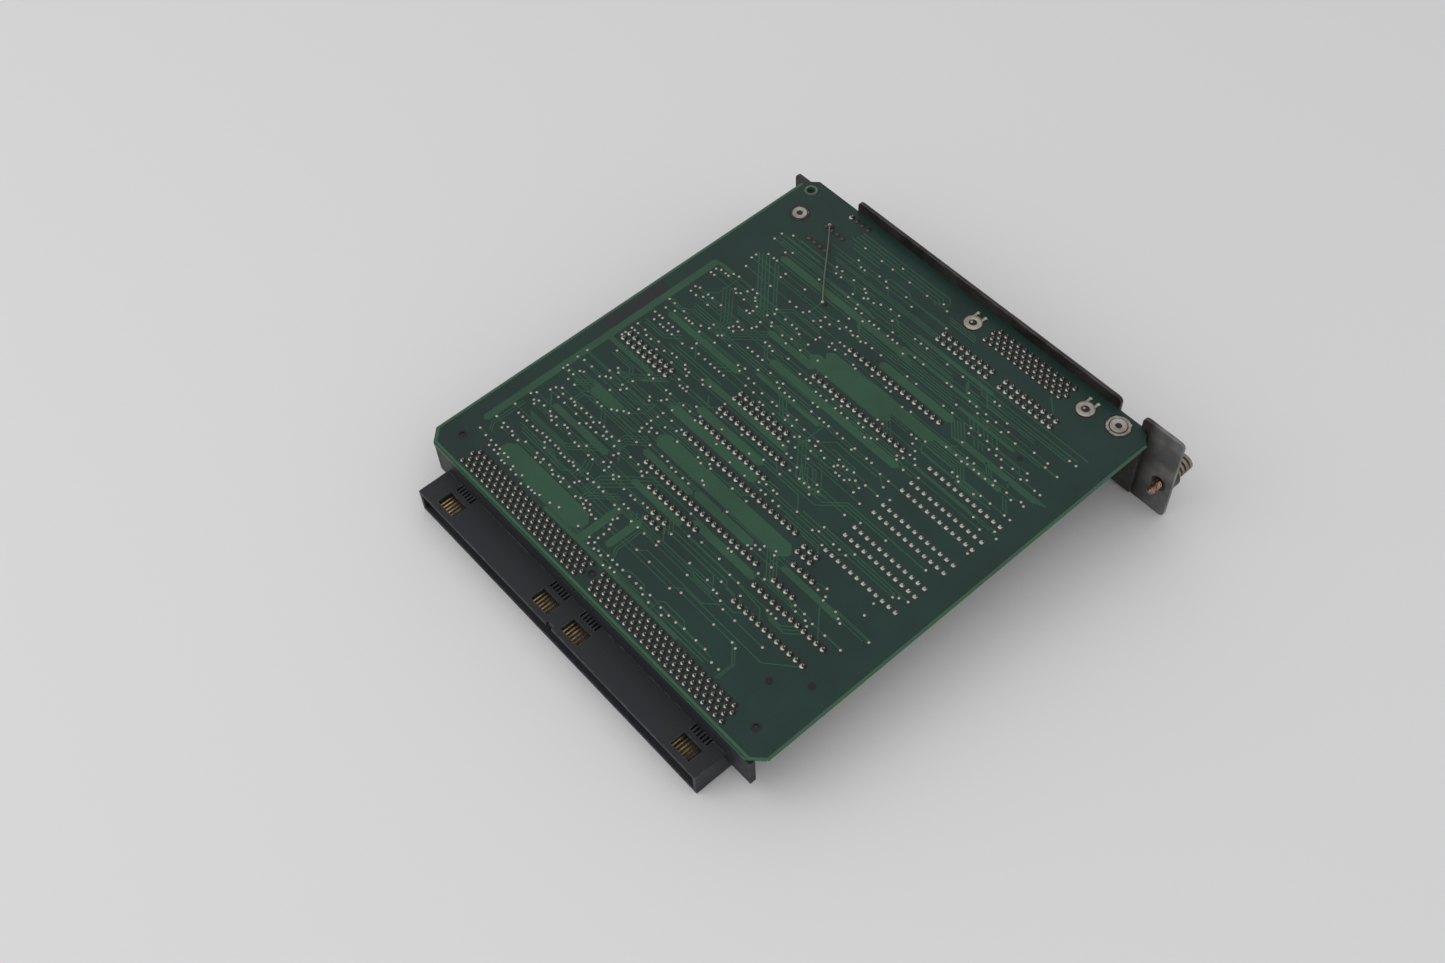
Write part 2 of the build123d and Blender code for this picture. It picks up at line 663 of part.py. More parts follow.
def dip_socket(pins, span, column, row):
    """Moulded socket: two contact rails joined by three bars, flat against the board."""
    half = pins // 2
    x, y = dip_middle(pins, span, column, row)
    length = half * PITCH
    opening = span - SOCKET_RAIL
    with BuildPart() as socket:
        with BuildSketch(Plane.XY.offset(PART_FACE)):
            with Locations((x, y)):
                Rectangle(length, span + SOCKET_RAIL)
                with GridLocations(length / 2, 1, 2, 1):
                    Rectangle(length / 2 - SOCKET_RAIL, opening, mode=Mode.SUBTRACT)
        extrude(amount=-SOCKET_H)
    return socket


# Socketed and soldered packages: pins, row span, first column and row on the grid, socket or not
packages = {
    "processor": (40, WIDE, 0, -12, True),
    "program_memory": (32, WIDE, 4, 34, True),
    "interface_ic_1": (24, NARROW, 0, 5, False),
    "interface_ic_2": (24, NARROW, 21, -22, False),
    "timer_ic": (8, NARROW, 22, -12, False),
    "setting_ic": (8, NARROW, -13, 64, False),
    "output_driver_1": (24, NARROW, 23, 29, False),
    "output_driver_2": (24, NARROW, 23, 20, False),
    "output_driver_3": (24, NARROW, 23, 11, False),
    "output_driver_4": (24, NARROW, 23, 2, False),
}
raised_places = []
flush_places = []
lead_rows = []
for label, (pins, span, column, row, socketed) in packages.items():
    if socketed:
        keep(dip_socket(pins, span, column, row), label + "_socket")
    body_top = PART_FACE - (SOCKET_H if socketed else DIP_STANDOFF)
    keep(dip_package(pins, span, column, row, body_top), label)
    if not socketed:
        lead_rows.append((pins, span, column, row))
    if label.startswith("output_driver"):
        flush_places += dip_places(pins, span, column, row)
    else:
        raised_places += dip_places(pins, span, column, row)

# Leads of the soldered packages, each a flat blade beside its moulded body
lead_depth = DIP_INSET + LEAD_T / 2
with BuildPart() as package_leads:
    with BuildSketch(Plane.XY.offset(PART_FACE)):
        for pins, span, column, row in lead_rows:
            x, y = dip_middle(pins, span, column, row)
            for side in (-1, 1):
                with Locations((x, y + side * (span / 2 - DIP_INSET + lead_depth / 2))):
                    with GridLocations(PITCH, 1, pins // 2, 1):
                        Rectangle(LEAD_W, lead_depth)
    extrude(amount=-(DIP_STANDOFF + DIP_BODY_T / 2))
keep(package_leads, "package_leads")

# Resistor networks: single-row parts that stand on edge
networks = [(9, 3, -16), (9, 10, 66.2), (9, 10, 64), (9, 20.2, 66.2), (9, 20.2, 64)]
with BuildPart() as resistor_networks:
    with BuildSketch(Plane.XY.offset(PART_FACE)):
        for count, column, row in networks:
            with Locations(grid(column + (count - 1) / 2, row)):
                Rectangle(count * PITCH - NETWORK_FIT, NETWORK_T)
    extrude(amount=-NETWORK_H)
keep(resistor_networks, "resistor_networks")
for count, column, row in networks:
    raised_places += pin_row(count, column, row)

# Socket strips with two rows of nine, and two small headers that carry shunts
socket_strips_at = [(9, 0, 15.5), (9, -16.4, 8)]
shunt_headers_at = [(3, 21, -3), (3, 6, -22)]
double_rows = {"socket_strips": (socket_strips_at, STRIP_H), "shunt_headers": (shunt_headers_at, HEADER_H)}
for label, (places, height) in double_rows.items():
    with BuildPart() as double_row:
        with BuildSketch(Plane.XY.offset(PART_FACE)):
            for count, column, row in places:
                with Locations(grid(column + (count - 1) / 2, row + 1)):
                    Rectangle(count * PITCH, 2 * PITCH)
        extrude(amount=-height)
    keep(double_row, label)
    for count, column, row in places:
        raised_places += pin_row(count, column, row) + pin_row(count, column, row + 2)

with BuildPart() as shunts:
    with BuildSketch(Plane.XY.offset(PART_FACE - HEADER_H)):
        for count, column, row in shunt_headers_at:
            for i in range(count):
                with Locations(grid(column + i, row + 1)):
                    Rectangle(PITCH - SHUNT_GAP, 2 * PITCH - SHUNT_GAP)
    extrude(amount=-SHUNT_H)
keep(shunts, "shunts")

# Clock can, capacitors and small chips on the component side
with BuildPart() as clock_can:
    with BuildSketch(Plane.XY.offset(PART_FACE)):
        with Locations(grid(-11, -24)):
            RectangleRounded(OSCILLATOR_W, OSCILLATOR_L, OSCILLATOR_R)
    extrude(amount=-OSCILLATOR_H)
    chamfer(clock_can.faces().sort_by(Axis.Z)[0].edges(), CLOCK_EDGE)
keep(clock_can, "clock_can")

can_places = [grid(31, -32), grid(27, -34), grid(-17, 40)]
with BuildPart() as capacitor_cans:
    with BuildSketch(Plane.XY.offset(PART_FACE)):
        with Locations(*can_places):
            Rectangle(CAN_BASE_W, CAN_BASE_W)
    extrude(amount=-CAN_BASE_H)
    with BuildSketch(Plane.XY.offset(PART_FACE - CAN_BASE_H)):
        with Locations(*can_places):
            Circle(CAN_R)
    extrude(amount=-CAN_H)
keep(capacitor_cans, "capacitor_cans")

chips = {
    "gate_array": (-12, 24, 20.0, 20.0),
    "bus_chip_1": (-16.5, -8, 7.6, 15.4),
    "bus_chip_2": (-12.5, -8, 7.6, 15.4),
    "bus_chip_3": (-8.5, -8, 7.6, 15.4),
    "bus_chip_4": (-4.5, -8, 7.6, 15.4),
    "latch_chip_1": (-15, 52, 12.8, 7.6),
    "latch_chip_2": (-6, 52, 12.8, 7.6),
    "latch_chip_3": (18, 58, 12.8, 7.6),
    "latch_chip_4": (26, 50, 12.8, 7.6),
    "line_chip_1": (14, -32, 12.8, 7.6),
    "line_chip_2": (-3, -32, 12.8, 7.6),
}
for label, (column, row, width, length) in chips.items():
    with BuildPart() as chip:
        with BuildSketch(Plane.XY.offset(PART_FACE)):
            with Locations(grid(column, row)):
                Rectangle(width, length)
        extrude(amount=-CHIP_T)
    keep(chip, label)

# Joints of the leaded parts on the solder side
solder_joints = joints_on_board(raised_places, JOINT_W, JOINT_H)
keep(solder_joints, "solder_joints")
flush_joints = joints_on_board(flush_places, FLUSH_W, FLUSH_H)
keep(flush_joints, "flush_joints")

# Indicator lamps behind the panel
with BuildPart() as lamp_holder:
    with BuildSketch(upright(BOARD_FRONT)):
        with Locations((LED_X, PART_FACE - LED_HOLDER_H / 2)):
            Rectangle(LED_HOLDER_W, LED_HOLDER_H)
    extrude(amount=LED_HOLDER_L)
keep(lamp_holder, "lamp_holder")
with BuildPart() as lamps:
    with BuildSketch(upright(BOARD_FRONT)):
        with Locations(*led_places):
            Circle(LED_R)
    extrude(amount=-(PANEL_T + LED_PROUD))
keep(lamps, "lamps")

# Repair wire on the solder side, bent down into a joint at each end
wire_start = (BOARD_LEFT + WIRE_FROM_LEFT, BOARD_FRONT - WIRE_FROM_FRONT)
wire_end = (wire_start[0] + WIRE_RUN_X, wire_start[1] - WIRE_RUN_Y)
with BuildPart() as repair_wire:
    with BuildLine():
        FilletPolyline(
            (*wire_start, SOLDER_FACE),
            (*wire_start, SOLDER_FACE + WIRE_RISE),
            (*wire_end, SOLDER_FACE + WIRE_RISE),
            (*wire_end, SOLDER_FACE),
            radius=WIRE_BEND,
        )
    with BuildSketch(Plane((*wire_start, SOLDER_FACE))):
        RegularPolygon(WIRE_R, 6)
    sweep()
keep(repair_wire, "repair_wire")
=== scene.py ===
import bmesh
import bpy
import json
import math
import numpy as np
from mathutils import Matrix, Vector

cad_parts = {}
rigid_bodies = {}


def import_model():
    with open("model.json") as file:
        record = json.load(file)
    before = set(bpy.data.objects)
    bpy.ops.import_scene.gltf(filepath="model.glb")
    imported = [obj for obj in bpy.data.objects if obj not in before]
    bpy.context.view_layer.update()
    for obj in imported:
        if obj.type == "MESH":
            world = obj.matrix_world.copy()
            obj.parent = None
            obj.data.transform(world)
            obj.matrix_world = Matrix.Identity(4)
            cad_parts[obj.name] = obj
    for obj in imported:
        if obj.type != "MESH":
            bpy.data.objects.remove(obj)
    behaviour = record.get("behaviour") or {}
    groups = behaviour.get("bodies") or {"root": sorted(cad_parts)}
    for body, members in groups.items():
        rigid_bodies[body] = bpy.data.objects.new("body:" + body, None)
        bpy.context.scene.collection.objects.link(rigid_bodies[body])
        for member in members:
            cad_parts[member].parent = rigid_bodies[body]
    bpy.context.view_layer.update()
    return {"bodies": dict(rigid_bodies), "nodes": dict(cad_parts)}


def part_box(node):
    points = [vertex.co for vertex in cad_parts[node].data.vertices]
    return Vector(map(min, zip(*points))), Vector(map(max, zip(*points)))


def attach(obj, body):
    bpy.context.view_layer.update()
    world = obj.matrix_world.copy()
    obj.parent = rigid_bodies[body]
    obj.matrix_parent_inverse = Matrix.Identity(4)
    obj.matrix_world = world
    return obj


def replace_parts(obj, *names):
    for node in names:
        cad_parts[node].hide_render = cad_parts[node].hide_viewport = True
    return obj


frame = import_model()
MM = 0.001
root = list(frame["bodies"])[0]


# Printed board: glass-epoxy laminate under dark green solder mask, routed to its outline and
# drilled. The mask is satin, a little stained by use; the routed rim shows pale bare laminate.
MASK_DARK = (0.0095, 0.030, 0.023)
MASK_STAIN = (0.0075, 0.018, 0.015)
RIM_GREEN = (0.030, 0.096, 0.050)
COLOUR, VALUE = "NodeSocketColor", "NodeSocketFloat"
BEVEL_SAMPLES = 6
DENT = 0.05 * MM


def make_group(name, inputs, outputs):
    """A shader node group with named sockets; gives the group, its nodes, links and two ends."""
    group = bpy.data.node_groups.new(name, "ShaderNodeTree")
    for label, kind, value in inputs:
        group.interface.new_socket(label, in_out="INPUT", socket_type=kind).default_value = value
    for label, kind in outputs:
        group.interface.new_socket(label, in_out="OUTPUT", socket_type=kind)
    return (group, group.nodes, group.links,
            group.nodes.new("NodeGroupInput"), group.nodes.new("NodeGroupOutput"))


def feed(links, sockets, parts):
    """Gives each named socket its part: another socket, a number or a colour."""
    for label, part in parts.items():
        if hasattr(part, "links"):
            links.new(part, sockets[label])
        else:
            sockets[label].default_value = (*part, 1) if isinstance(part, tuple) else part


def map_range(nodes, links, value, low, high, to_low=0.0, to_high=1.0):
    """A value carried from one range to another, held at both ends."""
    node = nodes.new("ShaderNodeMapRange")
    feed(links, node.inputs, {"Value": value, "From Min": low, "From Max": high,
                              "To Min": to_low, "To Max": to_high})
    return node.outputs[0]


def mix_colour(nodes, links, factor, first, second, blend="MIX"):
    """Two colours mixed."""
    node = nodes.new("ShaderNodeMix")
    node.data_type, node.blend_type = "RGBA", blend
    feed(links, node.inputs, {"Factor": factor, "A": first, "B": second})
    return node.outputs["Result"]


def reckon(nodes, links, operation, *parts):
    """One step of arithmetic on sockets."""
    node = nodes.new("ShaderNodeMath")
    node.operation = operation
    for part, socket in zip(parts, node.inputs):
        links.new(part, socket)
    return node.outputs[0]


def noise(nodes, links, scale, detail, rough=0.5):
    """Noise through the object's own space."""
    node = nodes.new("ShaderNodeTexNoise")
    feed(links, node.inputs, {"Vector": nodes.new("ShaderNodeTexCoord").outputs["Object"],
                              "Scale": scale, "Detail": detail, "Roughness": rough})
    return node.outputs["Fac"]


def coordinate(nodes, links, space, axis):
    """One axis of a point's place or of its normal, in the object's own space."""
    split = nodes.new("ShaderNodeSeparateXYZ")
    links.new(nodes.new("ShaderNodeTexCoord").outputs[space], split.inputs[0])
    return split.outputs[axis]


# stained surface: slow patches of a second colour, and a fine grain for colour and bump
stained, gn, gl, start, end = make_group(
    "stained_surface",
    [("Color", COLOUR, (0.5, 0.5, 0.5, 1)), ("Stain", COLOUR, (0.2, 0.2, 0.2, 1)),
     ("Amount", VALUE, 0.5), ("Patch Size", VALUE, 60.0), ("Grain Size", VALUE, 2500.0),
     ("Rough Low", VALUE, 0.4), ("Rough High", VALUE, 0.6)],
    [("Color", COLOUR), ("Roughness", VALUE), ("Height", VALUE)])
given = start.outputs
patches = noise(gn, gl, given["Patch Size"], 6, 0.6)
grain = noise(gn, gl, given["Grain Size"], 2, 0.6)
share = reckon(gn, gl, "MULTIPLY", map_range(gn, gl, patches, 0.38, 0.68), given["Amount"])
patched = mix_colour(gn, gl, share, given["Color"], given["Stain"])
shade = mix_colour(gn, gl, map_range(gn, gl, grain, 0.3, 0.7), (0.8, 0.8, 0.8), (1.2, 1.2, 1.2))
feed(gl, end.inputs, {
    "Color": mix_colour(gn, gl, 1.0, patched, shade, "MULTIPLY"),
    "Roughness": map_range(gn, gl, patches, 0.35, 0.65, given["Rough Low"], given["Rough High"]),
    "Height": grain})

# edge wear: where the bevelled normal turns away from the true one, broken up by noise
edge_wear, gn, gl, start, end = make_group(
    "edge_wear", [("Width", VALUE, 0.0004), ("Break Up", VALUE, 400.0)], [("Mask", VALUE)])
bevel = gn.new("ShaderNodeBevel")
bevel.samples = BEVEL_SAMPLES
gl.new(start.outputs["Width"], bevel.inputs["Radius"])
dot = gn.new("ShaderNodeVectorMath")
dot.operation = "DOT_PRODUCT"
gl.new(bevel.outputs[0], dot.inputs[0])
gl.new(gn.new("ShaderNodeNewGeometry").outputs["Normal"], dot.inputs[1])
turned_away = map_range(gn, gl, dot.outputs["Value"], 0.99, 0.80)
broken_up = map_range(gn, gl, noise(gn, gl, start.outputs["Break Up"], 4), 0.42, 0.60)
gl.new(reckon(gn, gl, "MULTIPLY", turned_away, broken_up), end.inputs["Mask"])


def finish(name, color, stain, amount=0.6, patch=60.0, grain=2500.0, rough=(0.4, 0.6),
           metallic=0.0, bump=0.15, wear=None, wear_width=0.0004, rim=None, gloss=0.5):
    """A stained surface with bump from its grain, worn edges and another colour on its rim."""
    material = bpy.data.materials.new(name)
    material.use_nodes = True
    nodes, links = material.node_tree.nodes, material.node_tree.links
    stains = nodes.new("ShaderNodeGroup")
    stains.node_tree = stained
    feed(links, stains.inputs, {
        "Color": color, "Stain": stain, "Amount": amount, "Patch Size": patch,
        "Grain Size": grain, "Rough Low": rough[0], "Rough High": rough[1]})
    out = stains.outputs["Color"]
    if rim:
        upright = reckon(nodes, links, "ABSOLUTE", coordinate(nodes, links, "Normal", "Z"))
        out = mix_colour(nodes, links, map_range(nodes, links, upright, 0.7, 0.3), out, rim)
    if wear:
        edges = nodes.new("ShaderNodeGroup")
        edges.node_tree = edge_wear
        edges.inputs["Width"].default_value = wear_width
        out = mix_colour(nodes, links, edges.outputs["Mask"], out, wear)
    dent = nodes.new("ShaderNodeBump")
    feed(links, dent.inputs, {"Strength": bump, "Distance": DENT,
                              "Height": stains.outputs["Height"]})
    feed(links, nodes["Principled BSDF"].inputs, {
        "Base Color": out, "Roughness": stains.outputs["Roughness"], "Metallic": metallic,
        "Specular IOR Level": gloss, "Normal": dent.outputs["Normal"]})
    return material


def dress(material, *nodes):
    """Gives CAD nodes their material."""
    for node in nodes:
        mesh = frame["nodes"][node].data
        mesh.materials.clear()
        mesh.materials.append(material)


laminate = finish("laminate", MASK_DARK, MASK_STAIN, 0.7, 45.0, 3000.0, (0.36, 0.50), bump=0.06,
                  rim=RIM_GREEN, gloss=0.25)
dress(laminate, "board")
board_low, board_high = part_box("board")
solder_z = board_high[2]
# the first pin of the longest package; the layout's places are in millimetres from it
PIN_FROM_LEFT, PIN_FROM_REAR = 53.2 * MM, 57.6 * MM
first_pin = np.array((board_low[0] + PIN_FROM_LEFT, board_low[1] + PIN_FROM_REAR))


# Copper under the mask: narrow traces that run along the board with 45 degree jogs, broad
# grounded areas between the packages, and a border. The mask looks lighter where copper lies.
COPPER_GREEN = (0.020, 0.066, 0.035)
COPPER_STAIN = (0.014, 0.044, 0.026)
BORDER_GREEN, BORDER_STAIN = (0.026, 0.088, 0.046), (0.030, 0.060, 0.030)
TRACE_W, BORDER_W = 0.38, 0.85
COPPER_T = 0.035 * MM
COPPER_SINK = 0.02 * MM
HAIR, HAIR_STEPS = 0.0005 * MM, 5
AREA_TOP, AREA_STEP = 0.95, 0.012


def add_object(name, data):
    """A new object in the scene."""
    obj = bpy.data.objects.new(name, data)
    bpy.context.collection.objects.link(obj)
    return obj


def surface(name, form, material, sharp=40):
    """A mesh object from a form, which is an array of points and a list of arrays of faces. It
    is smooth below the sharp angle."""
    points, faces = form
    mesh = bpy.data.meshes.new(name)
    rows = [row for group in faces for row in np.asarray(group).tolist()]
    mesh.from_pydata(np.asarray(points, float).reshape(-1, 3).tolist(), [], rows)
    mesh.polygons.foreach_set("use_smooth", np.ones(len(mesh.polygons), bool))
    mesh.set_sharp_from_angle(angle=math.radians(sharp))
    mesh.materials.append(material)
    obj = add_object(name, mesh)
    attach(obj, root)
    return obj


def copies(form, places):
    """The same form at each place: point + place, with the faces counted on."""
    points, faces = form
    places = np.asarray(places, float).reshape(-1, 3)
    steps = np.arange(len(places)) * len(points)
    moved = (places[:, None, :] + points[None]).reshape(-1, 3)
    return moved, [(steps[:, None, None] + np.asarray(f)[None]).reshape(-1, np.asarray(f).shape[1])
                   for f in faces]


def joined(forms):
    """Several forms as one: their points in a row and their faces counted on."""
    steps = np.cumsum([0] + [len(points) for points, _ in forms])
    return (np.concatenate([points for points, _ in forms]),
            [np.asarray(f) + step for (_, faces), step in zip(forms, steps) for f in faces])


def prism(outline, low, high):
    """A flat outline, counter-clockwise, stretched from one height to another."""
    outline = np.asarray(outline, float)
    n = len(outline)
    ring = np.arange(n)
    nxt = np.roll(ring, -1)
    points = np.concatenate([np.c_[outline, np.full(n, low)], np.c_[outline, np.full(n, high)]])
    return points, [np.stack([ring, nxt, nxt + n, ring + n], 1), ring[None, ::-1], ring[None] + n]


def rectangle(left, right, rear, front):
    """The corners of a rectangle, counter-clockwise."""
    return np.array([(left, rear), (right, rear), (right, front), (left, front)])


def bars(starts, ends, width, top):
    """Straight bars on the board: each corner is an end moved half a width along the bar's
    direction and half a width to its side. Each top is a hair higher than the one before, so
    that bars which cross don't share a surface."""
    along = ends - starts
    along /= np.linalg.norm(along, axis=1, keepdims=True)
    side = np.c_[-along[:, 1], along[:, 0]]
    half = width / 2
    flat = np.stack([starts - along * half - side * half, ends + along * half - side * half,
                     ends + along * half + side * half, starts - along * half + side * half], 1)
    low = np.full(flat.shape[:2] + (1,), solder_z - COPPER_SINK)
    high = np.full(low.shape, solder_z + top)
    high += np.arange(len(starts))[:, None, None] % HAIR_STEPS * HAIR
    points = np.concatenate([np.concatenate([flat, low], 2), np.concatenate([flat, high], 2)], 1)
    box = np.array([(3, 2, 1, 0), (4, 5, 6, 7), (0, 1, 5, 4), (1, 2, 6, 5), (2, 3, 7, 6),
                    (3, 0, 4, 7)])
    steps = np.arange(len(starts)) * 8
    return points.reshape(-1, 3), [(steps[:, None, None] + box[None]).reshape(-1, 4)]


